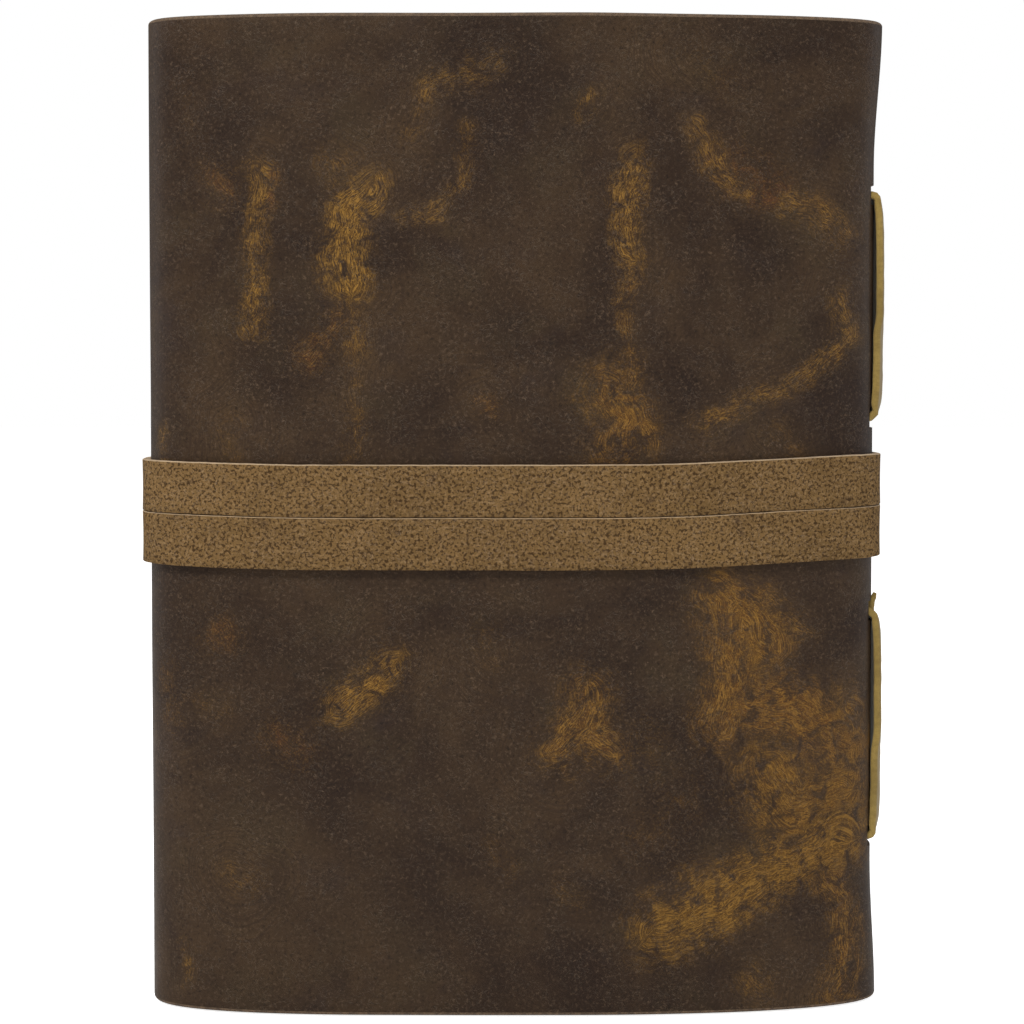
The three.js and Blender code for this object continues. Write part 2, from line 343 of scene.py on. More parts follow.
def close_strip(piece, merge=2e-6):
    """Joins the section's first and last rows, and closes the strip's two ends."""
    bpy.ops.object.mode_set(mode="EDIT")
    bpy.ops.mesh.select_all(action="SELECT")
    bpy.ops.mesh.remove_doubles(threshold=merge)
    bpy.ops.mesh.select_all(action="DESELECT")
    bpy.ops.mesh.select_mode(type="EDGE")
    bpy.ops.mesh.select_non_manifold()
    bpy.ops.mesh.fill_holes(sides=0)
    bpy.ops.mesh.select_all(action="SELECT")
    bpy.ops.mesh.normals_make_consistent(inside=False)
    bpy.ops.object.mode_set(mode="OBJECT")
    piece.select_set(True)
    bpy.ops.object.shade_smooth_by_angle(angle=math.radians(60))


def make_strip(name, place, section, lengths, materials):
    """A strip through place(i, depth, across), the point of station i of its route.

    lengths gives each station's distance along the strip, for the UV map. materials are those of
    the outer face, the inner face and the edge.
    """
    across = len(section) + 1
    piece, places = strip_grid(name, len(lengths), across)
    mesh = piece.data
    kinds = [row[2] for row in section]
    for vertex, (i, j) in zip(mesh.vertices, places):
        depth, width, _ = section[j % len(section)]
        vertex.co = place(i, depth, width)
    uv = mesh.uv_layers[0]
    uv.name = "strip"
    for polygon in mesh.polygons:
        polygon.material_index = kinds[min(places[v][1] for v in polygon.vertices)]
        for loop in polygon.loop_indices:
            i, j = places[mesh.loops[loop].vertex_index]
            depth, width, _ = section[j % len(section)]
            if j == len(section):
                width = section[0][1]
            uv.data[loop].uv = (lengths[i], width + (1.0 if depth > 0 else 0.0) * depth)
    made = len(mesh.polygons)
    for material in materials:
        mesh.materials.append(material)
    close_strip(piece)
    for polygon in mesh.polygons:
        if len(polygon.vertices) > 4 or polygon.index >= made:
            polygon.material_index = EDGE
    return piece


def upright_strip(name, route, lengths, section, materials, shape=None, end_round=(False, False)):
    """A strip that stands up along a plan route, with the inside of the journal on its left.

    shape(x, length, z) gives how far a point of the outer face is pushed out of its route.
    """
    deepest = max(row[0] for row in section)
    outward = normals(route)
    total = lengths[-1] - lengths[0]

    def place(i, depth, width):
        push = shape(route[i], lengths[i], width) if shape else Vector((0, 0, 0))
        from_start = lengths[i] - lengths[0]
        from_end = total - from_start
        middle = deepest / 2
        for rounded, gone in zip(end_round, (from_start, from_end)):
            if rounded and gone < middle:
                share = math.sqrt(max(0.0, 1 - (1 - gone / middle) ** 2))
                depth = middle + (depth - middle) * max(share, 0.15)
        point = route[i] - outward[i] * depth
        return Vector((point.x + CENTRE_X, point.y + CENTRE_Y, width)) + push

    return make_strip(name, place, section, lengths, materials)


# ---- Hide surface ------------------------------------------------------------------------------

FLARE_REACH = 30 * MM          # the spine opens out over this height at its head and tail
FLARE_START_X = 50 * MM        # and this far from the middle of the journal
TAIL_FLARE = 0.75              # how much of the head's flare the tail has
WAVE = 0.28 * MM               # how far the cover's face strays from a true surface
STRAP_FLAT = 9 * MM            # the face is flat this far from the middle of the strap's turns
STRAP_EASE = 16 * MM           # and its waves come back over this height
CUT_REACH = 6 * MM             # the cut edge's waver dies out over this height
CUT_WAVE = 0.35 * MM           # how far its cut edges stray from a straight line


def hide_shape(point, length, z):
    """Flare at the spine's ends, soft waves of the face and a hand-cut top and bottom edge."""
    flare = sizes().flare * smooth((point.x - FLARE_START_X) / (HALF_WIDTH - FLARE_START_X))
    head = smooth((z - (HEIGHT - FLARE_REACH)) / FLARE_REACH)
    tail = smooth((FLARE_REACH - z) / FLARE_REACH) * TAIL_FLARE
    push_x = flare * (head + tail)
    clear_of_strap = smooth((abs(z - sum(STRAP_BAND) / 2) - STRAP_FLAT) / STRAP_EASE)
    wave = noise.noise(Vector((length * 26, z * 19, 3.1))) * WAVE
    wave += noise.noise(Vector((length * 70, z * 55, 8.4))) * WAVE * 0.3
    centre = Vector((0.0, FLAP_RISE / 2))
    away = (point - centre).normalized()
    outward = Vector((away.x * 0.2, math.copysign(1.0, away.y) * min(1.0, abs(away.y) * 8)))
    wave *= clear_of_strap
    head_cut = smooth((z - HEIGHT + CUT_REACH) / CUT_REACH)
    tail_cut = smooth((CUT_REACH - z) / CUT_REACH)
    ragged = 0.5 + 0.5 * noise.noise(Vector((length * 34, 5.7, 1.0 if z > HEIGHT / 2 else 9.0)))
    lift = -head_cut * CUT_WAVE * ragged + tail_cut * CUT_WAVE * ragged * 0.6
    return Vector((outward.x * wave + push_x, outward.y * wave, lift))


# Where the cover has been rubbed, in millimetres on the back cover: x from the middle of the
# journal towards the spine, z from the tail. Each stroke is (points, width, strength, redness).
# Narrow strokes show as separate golden wrinkles, and wide ones as a soft wash.
RUBS = (
    (((-51.5, 172), (-52.5, 160), (-51.5, 148), (-53, 139)), 3.6, 0.62, 0.15),
    (((-50.5, 171), (-51, 166)), 3.4, 0.50, 0.8),
    (((-28.5, 169), (-33, 163), (-34, 156), (-33.5, 150)), 4.6, 1.0, 0.1),
    (((-36, 174), (-31, 166)), 5.0, 0.42, 0.35),
    (((-33, 148), (-32.5, 136), (-32, 122), (-33, 114)), 3.2, 0.40, 0.3),
    (((-36, 141), (-42, 135)), 4.4, 0.60, 0.75),
    (((-8, 180), (-9.5, 169), (-16, 164), (-23, 161)), 2.4, 0.42, 0.2),
    (((-2, 194), (-9, 191), (-17, 187), (-19, 181)), 3.6, 0.40, 0.15),
    (((16, 188), (15.5, 184)), 2.4, 0.46, 0.2),
    (((24, 174), (23, 166), (25, 156)), 4.0, 0.72, 0.2),
    (((25, 155), (22, 145), (24, 132), (22, 123)), 3.2, 0.48, 0.35),
    (((18, 128), (23, 122), (19, 115)), 7.0, 0.66, 0.3),
    (((25, 124), (28, 117)), 3.4, 0.50, 0.35),
    (((37, 181), (41, 173), (47, 169)), 3.8, 0.55, 0.35),
    (((46, 172), (52, 169)), 7.5, 0.44, 0.95),
    (((56, 166), (64, 163), (69, 159)), 4.8, 0.50, 0.3),
    (((70, 138), (61, 132), (50, 126), (38, 120)), 3.2, 0.58, 0.25),
    (((68, 146), (71, 139)), 4.2, 0.50, 0.2),
    (((-6, 126), (-4, 126)), 3.6, 0.52, 0.85),
    (((-60, 171), (-58, 169)), 4.2, 0.50, 0.9),
    (((-56, 121), (-57, 114)), 4.4, 0.34, 0.5),
    (((55, 119), (58, 117)), 4.0, 0.34, 0.6),
    (((-60.5, 79), (-59.5, 77)), 5.2, 0.56, 0.85),
    (((-24, 73), (-29, 67), (-35, 63)), 5.2, 0.86, 0.2),
    (((-47, 57), (-45, 55.5)), 5.0, 0.50, 0.95),
    (((15, 66), (14, 59), (10, 54)), 6.2, 0.72, 0.3),
    (((13, 57), (20, 54)), 5.4, 0.60, 0.35),
    (((42, 86), (47, 82), (52, 76)), 7.0, 0.70, 0.25),
    (((44, 82), (46, 71), (43, 60)), 7.0, 0.72, 0.3),
    (((47, 66), (57, 62), (66, 58), (71, 54)), 8.5, 0.66, 0.35),
    (((53, 50), (59, 43), (69, 44)), 9.0, 0.78, 0.2),
    (((70, 62), (72, 44)), 7.0, 0.66, 0.25),
    (((50, 83), (59, 80)), 4.5, 0.45, 0.3),
    (((31, 17), (42, 24), (55, 30), (69, 35)), 7.6, 1.0, 0.1),
    (((64, 31), (70, 21), (69, 10), (67, 2)), 5.4, 0.62, 0.4),
    (((-3, 34), (-1, 32)), 3.6, 0.34, 0.4),
    (((11, 27), (13, 25)), 3.2, 0.38, 0.3),
    (((-58, 29), (-55, 27)), 4.6, 0.34, 0.3),
    (((49, 7), (51, 5)), 5.2, 0.40, 0.3),
    (((-67.5, 14), (-67, 5)), 1.4, 0.55, 0.1),
    (((27, 58), (29, 56)), 6.0, 0.30, 0.4),
    (((-6, 78), (-3, 74)), 5.0, 0.24, 0.4),
    (((-72, 70), (-71, 60)), 4.6, 0.36, 0.6),
    (((-72.5, 119), (-72.5, 113)), 2.2, 0.55, 0.1),
    (((-66, 64), (-60, 62)), 4.0, 0.28, 0.5),
    (((34, 45), (28, 36)), 8.0, 0.26, 0.3),
    (((36, 196), (44, 190)), 5.0, 0.22, 0.6),
    (((-68, 190), (-66, 178)), 3.0, 0.20, 0.3),
)

# The same for the front cover and the flap, in their own length along the hide and height.
FRONT_RUBS = (
    (((122, 60), (134, 66), (150, 62)), 8.0, 0.70, 0.25),
    (((140, 170), (152, 160), (158, 148)), 6.0, 0.60, 0.30),
    (((170, 30), (186, 36)), 7.0, 0.55, 0.35),
    (((-118, 160), (-130, 150), (-138, 138)), 6.0, 0.72, 0.20),
    (((-150, 60), (-142, 50), (-128, 46)), 7.0, 0.65, 0.30),
    (((-110, 40), (-104, 30)), 4.0, 0.50, 0.80),
    (((-165, 178), (-172, 168)), 5.0, 0.45, 0.60),
    (((104, 20), (108, 34), (104, 48)), 5.0, 0.60, 0.30),
    (((-96, 120), (-98, 104)), 3.0, 0.50, 0.25),
    (((112, 186), (122, 178)), 5.0, 0.42, 0.70),
    (((-100, 70), (-96, 58)), 4.0, 0.40, 0.30),
)


def rub_at(length, z):
    """(strength, redness, place along the stroke, place across it, softness) of the rubbing."""
    best = (0.0, 0.0, 0.0, 0.0, 0.0)
    total = 0.0
    here = Vector((length / MM, z / MM))
    for size, reach in ((0.085, 2.6), (0.30, 1.0)):
        at = Vector((here.x * size, here.y * size, 2.7))
        here.x += noise.noise(at) * reach
        here.y += noise.noise(at + Vector((31.0, 17.0, 5.0))) * reach
    for points, width, strength, redness in RUBS + FRONT_RUBS:
        run = 0.0
        for start, end in zip(points, points[1:]):
            a, b = Vector(start), Vector(end)
            along = b - a
            t = min(max((here - a).dot(along) / along.length_squared, 0.0), 1.0)
            apart = here - (a + along * t)
            far = apart.length / width
            if far < 2.6:
                amount = 0.86 * strength * math.exp(-far * far * 1.2)
                side = math.copysign(apart.length, along.cross(apart))
                if amount > best[0]:
                    best = (amount, redness, run + along.length * t, side, smooth((width - 4.5) / 4))
                total = max(total, amount) + min(total, amount) * 0.25
            run += along.length
    return (min(total, 1.0), *best[1:])


def brush_rubs(piece):
    """Stores the rubbing at every point of a hide piece, for its material to read."""
    mesh = piece.data
    uv = mesh.uv_layers["strip"].data
    at = {}
    for loop in mesh.loops:
        at.setdefault(loop.vertex_index, tuple(uv[loop.index].uv))
    amount = mesh.attributes.new("rub", "FLOAT", "POINT")
    redness = mesh.attributes.new("rub_red", "FLOAT", "POINT")
    way = mesh.attributes.new("rub_way", "FLOAT_VECTOR", "POINT")
    for index, (length, z) in at.items():
        strength, red, along, side, soft = rub_at(length, z)
        amount.data[index].value = strength
        redness.data[index].value = red
        way.data[index].vector = (along, side, soft)


# ---- Shader helpers ----------------------------------------------------------------------------

def add(tree, kind, x, y, **inputs):
    """A node at a place in its tree, with values set on its sockets by name."""
    made = tree.nodes.new(kind)
    made.location = (x, y)
    for name, value in inputs.items():
        made.inputs[name.replace("_", " ")].default_value = value
    return made


def math_node(tree, operation, x, y, first, second=None, third=None, clamp=False):
    """A math node. Each input is a number or the output of another node."""
    made = tree.nodes.new("ShaderNodeMath")
    made.operation = operation
    made.use_clamp = clamp
    made.location = (x, y)
    for socket, value in zip(made.inputs, (first, second, third)):
        if value is None:
            continue
        if isinstance(value, (int, float)):
            socket.default_value = value
        else:
            tree.links.new(value, socket)
    return made.outputs[0]


def step_node(tree, x, y, value, low, high):
    """0 at low and beyond, 1 at high and beyond, and smooth between. Low may be the larger."""
    made = tree.nodes.new("ShaderNodeMapRange")
    made.interpolation_type = "SMOOTHSTEP"
    made.location = (x, y)
    tree.links.new(value, made.inputs["Value"])
    made.inputs["From Min"].default_value = low
    made.inputs["From Max"].default_value = high
    return made.outputs["Result"]


def mix_colour(tree, x, y, factor, first, second):
    """The first colour at factor 0 and the second at 1."""
    made = tree.nodes.new("ShaderNodeMix")
    made.data_type = "RGBA"
    made.location = (x, y)
    for socket, value in ((made.inputs[0], factor), (made.inputs[6], first), (made.inputs[7], second)):
        if isinstance(value, (int, float)):
            socket.default_value = value
        elif isinstance(value, bpy.types.NodeSocket):
            tree.links.new(value, socket)
        else:
            socket.default_value = (*value[:3], 1.0)
    return made.outputs[2]


def noise_node(tree, x, y, vector, scale, detail=3.0, roughness=0.55, distortion=0.0):
    made = add(tree, "ShaderNodeTexNoise", x, y, Scale=scale, Detail=detail, Roughness=roughness,
               Distortion=distortion)
    tree.links.new(vector, made.inputs["Vector"])
    return made.outputs["Fac"]


def stretch(tree, x, y, vector, scale, turn=0.0):
    """The vector turned about Z, then scaled along its axes."""
    made = add(tree, "ShaderNodeMapping", x, y, Rotation=(0.0, 0.0, turn))
    made.vector_type = "TEXTURE"
    made.inputs["Scale"].default_value = [1 / share for share in scale]
    tree.links.new(vector, made.inputs["Vector"])
    return made.outputs["Vector"]


def new_group(name, inputs, outputs):
    """A shader node group with named inputs (name, kind, default) and outputs (name, kind)."""
    tree = bpy.data.node_groups.new(name, "ShaderNodeTree")
    for label, kind, default in inputs:
        socket = tree.interface.new_socket(name=label, in_out="INPUT", socket_type=kind)
        if default is not None:
            socket.default_value = default
    for label, kind in outputs:
        tree.interface.new_socket(name=label, in_out="OUTPUT", socket_type=kind)
    return tree, tree.nodes.new("NodeGroupInput"), tree.nodes.new("NodeGroupOutput")


def grain_group():
    """Pebbled leather grain with fine pores, from a vector in millimetres."""
    tree, start, end = new_group(
        "Leather grain",
        [("Vector", "NodeSocketVector", None), ("Size", "NodeSocketFloat", 1.0)],
        [("Height", "NodeSocketFloat"), ("Pores", "NodeSocketFloat")])
    cells = add(tree, "ShaderNodeTexVoronoi", -400, 200, Randomness=1.0)
    cells.feature = "SMOOTH_F1"
    scale = math_node(tree, "DIVIDE", -600, 100, 1.7, start.outputs["Size"])
    tree.links.new(start.outputs["Vector"], cells.inputs["Vector"])
    tree.links.new(scale, cells.inputs["Scale"])
    fine = noise_node(tree, -400, -60, start.outputs["Vector"], 2.6, 4.0, 0.6)
    pores = noise_node(tree, -400, -300, start.outputs["Vector"], 3.4, 2.0, 0.5)
    pore_mask = step_node(tree, -200, -300, pores, 0.60, 0.70)
    height = math_node(tree, "MULTIPLY", -200, 200, cells.outputs["Distance"], 0.6)
    height = math_node(tree, "ADD", 0, 100, height, fine)
    height = math_node(tree, "SUBTRACT", 150, 0, height, pore_mask)
    tree.links.new(height, end.inputs["Height"])
    tree.links.new(pore_mask, end.inputs["Pores"])
    return tree


def mottle_group():
    """Slow change of tone across a piece, from a vector in millimetres."""
    tree, start, end = new_group(
        "Mottle",
        [("Vector", "NodeSocketVector", None), ("Patch", "NodeSocketFloat", 30.0)],
        [("Broad", "NodeSocketFloat"), ("Close", "NodeSocketFloat")])
    scale = math_node(tree, "DIVIDE", -600, 100, 1.0, start.outputs["Patch"])
    broad = add(tree, "ShaderNodeTexNoise", -400, 150, Detail=4.0, Roughness=0.62, Distortion=0.6)
    tree.links.new(start.outputs["Vector"], broad.inputs["Vector"])
    tree.links.new(scale, broad.inputs["Scale"])
    close = add(tree, "ShaderNodeTexNoise", -400, -150, Detail=5.0, Roughness=0.65, Distortion=0.3)
    tree.links.new(start.outputs["Vector"], close.inputs["Vector"])
    tree.links.new(math_node(tree, "MULTIPLY", -550, -100, scale, 6.0), close.inputs["Scale"])
    tree.links.new(step_node(tree, -150, 150, broad.outputs["Fac"], 0.34, 0.68), end.inputs["Broad"])
    tree.links.new(step_node(tree, -150, -150, close.outputs["Fac"], 0.30, 0.72), end.inputs["Close"])
    return tree


def scuff_group():
    """Hair-fine light scratches in several directions, from a vector in millimetres."""
    tree, start, end = new_group(
        "Scuffs",
        [("Vector", "NodeSocketVector", None), ("Amount", "NodeSocketFloat", 1.0)],
        [("Mask", "NodeSocketFloat")])
    total = None
    for k, turn in enumerate((0.35, 1.25, 2.2, 2.9)):
        turned = stretch(tree, -700, -220 * k, start.outputs["Vector"], (0.75, 3.6, 1.0), turn)
        lines = noise_node(tree, -500, -220 * k, turned, 1.0, 2.0, 0.5)
        mask = step_node(tree, -300, -220 * k, lines, 0.60, 0.72)
        total = mask if total is None else math_node(tree, "MAXIMUM", -100, -220 * k, total, mask)
    breakup = noise_node(tree, -500, 250, start.outputs["Vector"], 0.16, 2.0, 0.5)
    shown = step_node(tree, -300, 250, breakup, 0.36, 0.64)
    total = math_node(tree, "MULTIPLY", 50, 0, total, shown)
    total = math_node(tree, "MULTIPLY", 200, 0, total, start.outputs["Amount"])
    tree.links.new(total, end.inputs["Mask"])
    return tree


def fibre_group():
    """Raw fibres of a cut edge or of suede, from a vector in millimetres."""
    tree, start, end = new_group(
        "Fibres",
        [("Vector", "NodeSocketVector", None)],
        [("Height", "NodeSocketFloat"), ("Tone", "NodeSocketFloat")])
    fibres = noise_node(tree, -400, 150, start.outputs["Vector"], 4.5, 5.0, 0.7, 1.2)
    clumps = noise_node(tree, -400, -100, start.outputs["Vector"], 0.9, 4.0, 0.6)
    tree.links.new(math_node(tree, "ADD", -150, 150, fibres, clumps), end.inputs["Height"])
    mean = math_node(tree, "MULTIPLY", -150, -100, math_node(tree, "ADD", -300, -100, fibres, clumps), 0.5)
    tree.links.new(step_node(tree, 0, -100, mean, 0.38, 0.62), end.inputs["Tone"])
    return tree


GROUP_MAKERS = {
    "Leather grain": grain_group,
    "Mottle": mottle_group,
    "Scuffs": scuff_group,
    "Fibres": fibre_group,
}


def group(tree, name, x, y, vector, **inputs):
    """One of the shared effects, placed in a material."""
    made = tree.nodes.new("ShaderNodeGroup")
    made.node_tree = bpy.data.node_groups.get(name) or GROUP_MAKERS[name]()
    made.location = (x, y)
    tree.links.new(vector, made.inputs["Vector"])
    for label, value in inputs.items():
        made.inputs[label].default_value = value
    return made.outputs


def new_material(name, roughness, specular=0.5):
    """A material with an empty tree but for its shader. Returns (material, tree, shader)."""
    material = bpy.data.materials.new(name)
    material.use_nodes = True
    tree = material.node_tree
    shader = tree.nodes["Principled BSDF"]
    shader.location = (900, 0)
    shader.inputs["Roughness"].default_value = roughness
    shader.inputs["Specular IOR Level"].default_value = specular
    return material, tree, shader


def strip_vector(tree):
    """The strip's own UV map, in millimetres."""
    uv = tree.nodes.new("ShaderNodeUVMap")
    uv.uv_map = "strip"
    uv.location = (-1400, 0)
    return stretch(tree, -1200, 0, uv.outputs["UV"], (1 / MM, 1 / MM, 1 / MM))


def object_vector(tree):
    """Object coordinates, in millimetres."""
    place = tree.nodes.new("ShaderNodeTexCoord")
    place.location = (-1400, 0)
    return stretch(tree, -1200, 0, place.outputs["Object"], (1 / MM, 1 / MM, 1 / MM))


def bump(tree, shader, height, strength, distance):
    """Raises the shader's surface by a height that is 0 to 1 times the distance."""
    made = add(tree, "ShaderNodeBump", 700, -300, Strength=strength, Distance=distance)
    tree.links.new(height, made.inputs["Height"])
    tree.links.new(made.outputs["Normal"], shader.inputs["Normal"])


# ---- Materials ---------------------------------------------------------------------------------

def shared(maker):
    """Makes a material the first time it is asked for, and finds it by name after that."""
    def find():
        return bpy.data.materials.get(maker.__name__) or maker()
    return find


def attribute(tree, name, x, y):
    made = tree.nodes.new("ShaderNodeAttribute")
    made.attribute_name = name
    made.location = (x, y)
    return made


def ridge_lines(tree, x, y, vector, width, detail=2.0, distortion=0.35):
    """Hair-thin winding lines: 1 on a line, 0 between lines."""
    field = noise_node(tree, x, y, vector, 1.0, detail, 0.5, distortion)
    apart = math_node(tree, "ABSOLUTE", x + 300, y, math_node(tree, "SUBTRACT", x + 150, y, field, 0.5))
    return step_node(tree, x + 450, y, apart, width, width * 0.15), field


def hide_ground(tree, where, mottle):
    """The dark waxed colour of the hide, before any rubbing."""
    colour = mix_colour(tree, -300, 650, mottle["Broad"], colours().hide, colours().hide_light)
    olive = step_node(tree, -500, 850, noise_node(tree, -700, 850, where, 0.045, 3.0, 0.6), 0.50, 0.72)
    olive = math_node(tree, "MULTIPLY", -320, 850, olive, 0.55)
    colour = mix_colour(tree, -150, 700, olive, colour, (0.050, 0.033, 0.016))
    violet = step_node(tree, -500, 1050, noise_node(tree, -700, 1050, where, 0.060, 3.0, 0.6), 0.54, 0.74)
    violet = math_node(tree, "MULTIPLY", -320, 1050, violet, 0.5)
    colour = mix_colour(tree, 0, 750, violet, colour, (0.026, 0.0175, 0.0165))
    close = math_node(tree, "MULTIPLY", -320, 520, mottle["Close"], 0.30)
    colour = mix_colour(tree, 150, 600, close, colour, (0.0200, 0.0135, 0.0095))
    flecks = noise_node(tree, -700, 1250, where, 1.35, 5.0, 0.72, 0.6)
    dark = math_node(tree, "MULTIPLY", -320, 1400, step_node(tree, -500, 1400, flecks, 0.47, 0.34), 0.70)
    colour = mix_colour(tree, 250, 650, dark, colour, (0.0110, 0.0072, 0.0050))
    light = math_node(tree, "MULTIPLY", -320, 1250, step_node(tree, -500, 1250, flecks, 0.52, 0.66), 0.85)
    thinning = math_node(tree, "MULTIPLY_ADD", -320, 1150, mottle["Close"], 0.7, 0.30)
    light = math_node(tree, "MULTIPLY", -150, 1250, light, thinning)
    return mix_colour(tree, 400, 650, light, colour, (0.105, 0.068, 0.042))


@shared
def hide_grain():
    """Dark oiled leather, rubbed to golden tan along the strokes that the mesh carries."""
    material, tree, shader = new_material("hide_grain", 0.5, 0.10)
    where = strip_vector(tree)
    mottle = group(tree, "Mottle", -1000, 600, where, Patch=34.0)
    grain = group(tree, "Leather grain", -1000, -900, where, Size=1.0)
    scuffs = group(tree, "Scuffs", -1000, -1200, where, Amount=1.0)
    ground = hide_ground(tree, where, mottle)

    rub = attribute(tree, "rub", -1700, 300).outputs["Fac"]
    red = attribute(tree, "rub_red", -1700, 150).outputs["Fac"]
    way = attribute(tree, "rub_way", -1700, -150).outputs["Vector"]
    split = add(tree, "ShaderNodeSeparateXYZ", -1500, -450)
    tree.links.new(way, split.inputs[0])
    wash = split.outputs["Z"]
    clumps = noise_node(tree, -1200, 250, where, 0.26, 5.0, 0.66, 0.9)
    share = math_node(tree, "MULTIPLY_ADD", -1000, 250, clumps, 4.2, -1.22)
    amount = math_node(tree, "MULTIPLY", -850, 250, rub, share, clamp=True)
    coarse, field = ridge_lines(tree, -1300, 0, stretch(tree, -1500, 0, way, (0.25, 1.45, 1.0)), 0.042)
    closer = stretch(tree, -1500, -250, way, (0.42, 2.8, 1.0))
    fine, fine_field = ridge_lines(tree, -1300, -250, closer, 0.042)
    lines = math_node(tree, "MAXIMUM", -700, -100, coarse, math_node(tree, "MULTIPLY", -850, -200, fine, 0.8))
    grit = step_node(tree, -700, -450, noise_node(tree, -900, -450, where, 2.3, 3.0, 0.6, 0.5), 0.50, 0.66)

    tan = mix_colour(tree, -300, 350, red, colours().rubbed, colours().rubbed_red)
    lift = math_node(tree, "MULTIPLY_ADD", -650, 200, wash, 0.22, 1.0)
    lifted = math_node(tree, "MULTIPLY", -550, 200, amount, lift)
    soft = math_node(tree, "MULTIPLY", -350, 200, step_node(tree, -500, 200, lifted, 0.12, 1.30), 0.92)
    colour = mix_colour(tree, 0, 350, soft, ground, tan)
    busy = math_node(tree, "SUBTRACT", -650, 50, 1.0, math_node(tree, "MULTIPLY", -800, 50, wash, 0.30))
    gaps = math_node(tree, "MULTIPLY", -350, 50, step_node(tree, -500, 50, fine_field, 0.53, 0.42), 0.60)
    gaps = math_node(tree, "MULTIPLY", -200, 50, gaps, busy)
    colour = mix_colour(tree, 150, 350, gaps, colour, (0.030, 0.0175, 0.0105))
    shown = step_node(tree, -500, -100, amount, 0.05, 0.95)
    plain = math_node(tree, "SUBTRACT", -500, -250, 1.0, math_node(tree, "MULTIPLY", -650, -250, red, 0.75))
    shown = math_node(tree, "MULTIPLY", -350, -100, shown, plain)
    shown = math_node(tree, "MULTIPLY", -250, -100, shown, busy)
    bright = math_node(tree, "MULTIPLY", -350, -180, lines, shown)
    bright = math_node(tree, "MULTIPLY", -200, -100, bright, 0.66)
    colour = mix_colour(tree, 300, 350, bright, colour, colours().rubbed_line)
    gritty = math_node(tree, "MULTIPLY", -350, -400, grit, amount)
    gritty = math_node(tree, "MULTIPLY", -200, -400, gritty, 0.34)
    colour = mix_colour(tree, 450, 350, gritty, colour, colours().rubbed_line)
    specks = math_node(tree, "MULTIPLY", 200, -700, scuffs["Mask"], 0.24)
    colour = mix_colour(tree, 700, 300, specks, colour, (0.155, 0.120, 0.088))
    tree.links.new(colour, shader.inputs["Base Color"])

    rough = math_node(tree, "MULTIPLY_ADD", 250, -400, amount, 0.14, 0.47)
    rough = math_node(tree, "MULTIPLY_ADD", 450, -400, mottle["Close"], 0.08, rough)
    tree.links.new(rough, shader.inputs["Roughness"])
    height = math_node(tree, "MULTIPLY", 250, -250, grain["Height"], 0.60)
    creases = math_node(tree, "MULTIPLY", 250, -120, math_node(tree, "ADD", 100, -120, field, lines), amount)
    height = math_node(tree, "ADD", 400, -250, height, math_node(tree, "MULTIPLY", 330, -120, creases, 1.6))
    height = math_node(tree, "ADD", 550, -250, height, scuffs["Mask"])
    bump(tree, shader, height, 0.45, 0.09 * MM)
    return material


def suede(name, tone, dark, vector=strip_vector):
    """The napped side of a leather, or a raw thong."""
    material, tree, shader = new_material(name, 0.92, 0.2)
    where = vector(tree)
    fibres = group(tree, "Fibres", -700, -300, where)
    mottle = group(tree, "Mottle", -700, 300, where, Patch=16.0)
    colour = mix_colour(tree, -300, 300, mottle["Broad"], tone, [c * 0.72 for c in tone])
    nap = math_node(tree, "MULTIPLY", -300, 100, fibres["Tone"], 0.45)
    colour = mix_colour(tree, 0, 200, nap, colour, dark)
    tree.links.new(colour, shader.inputs["Base Color"])
    shader.inputs["Sheen Weight"].default_value = 0.10
    shader.inputs["Sheen Roughness"].default_value = 0.5
    bump(tree, shader, fibres["Height"], 0.5, 0.12 * MM)
    return material


@shared
def hide_flesh():
    return suede("hide_flesh", colours().flesh, (0.085, 0.050, 0.028))


@shared
def hide_edge():
    """Cut edge of the hide: dark brown mixed at random with paler fibres."""
    material, tree, shader = new_material("hide_edge", 0.8, 0.25)
    where = strip_vector(tree)
    fibres = group(tree, "Fibres", -700, -300, where)
    colour = mix_colour(tree, 0, 200, fibres["Tone"], (0.060, 0.040, 0.027), (0.150, 0.098, 0.058))
    tree.links.new(colour, shader.inputs["Base Color"])
    bump(tree, shader, fibres["Height"], 0.6, 0.12 * MM)
    return material


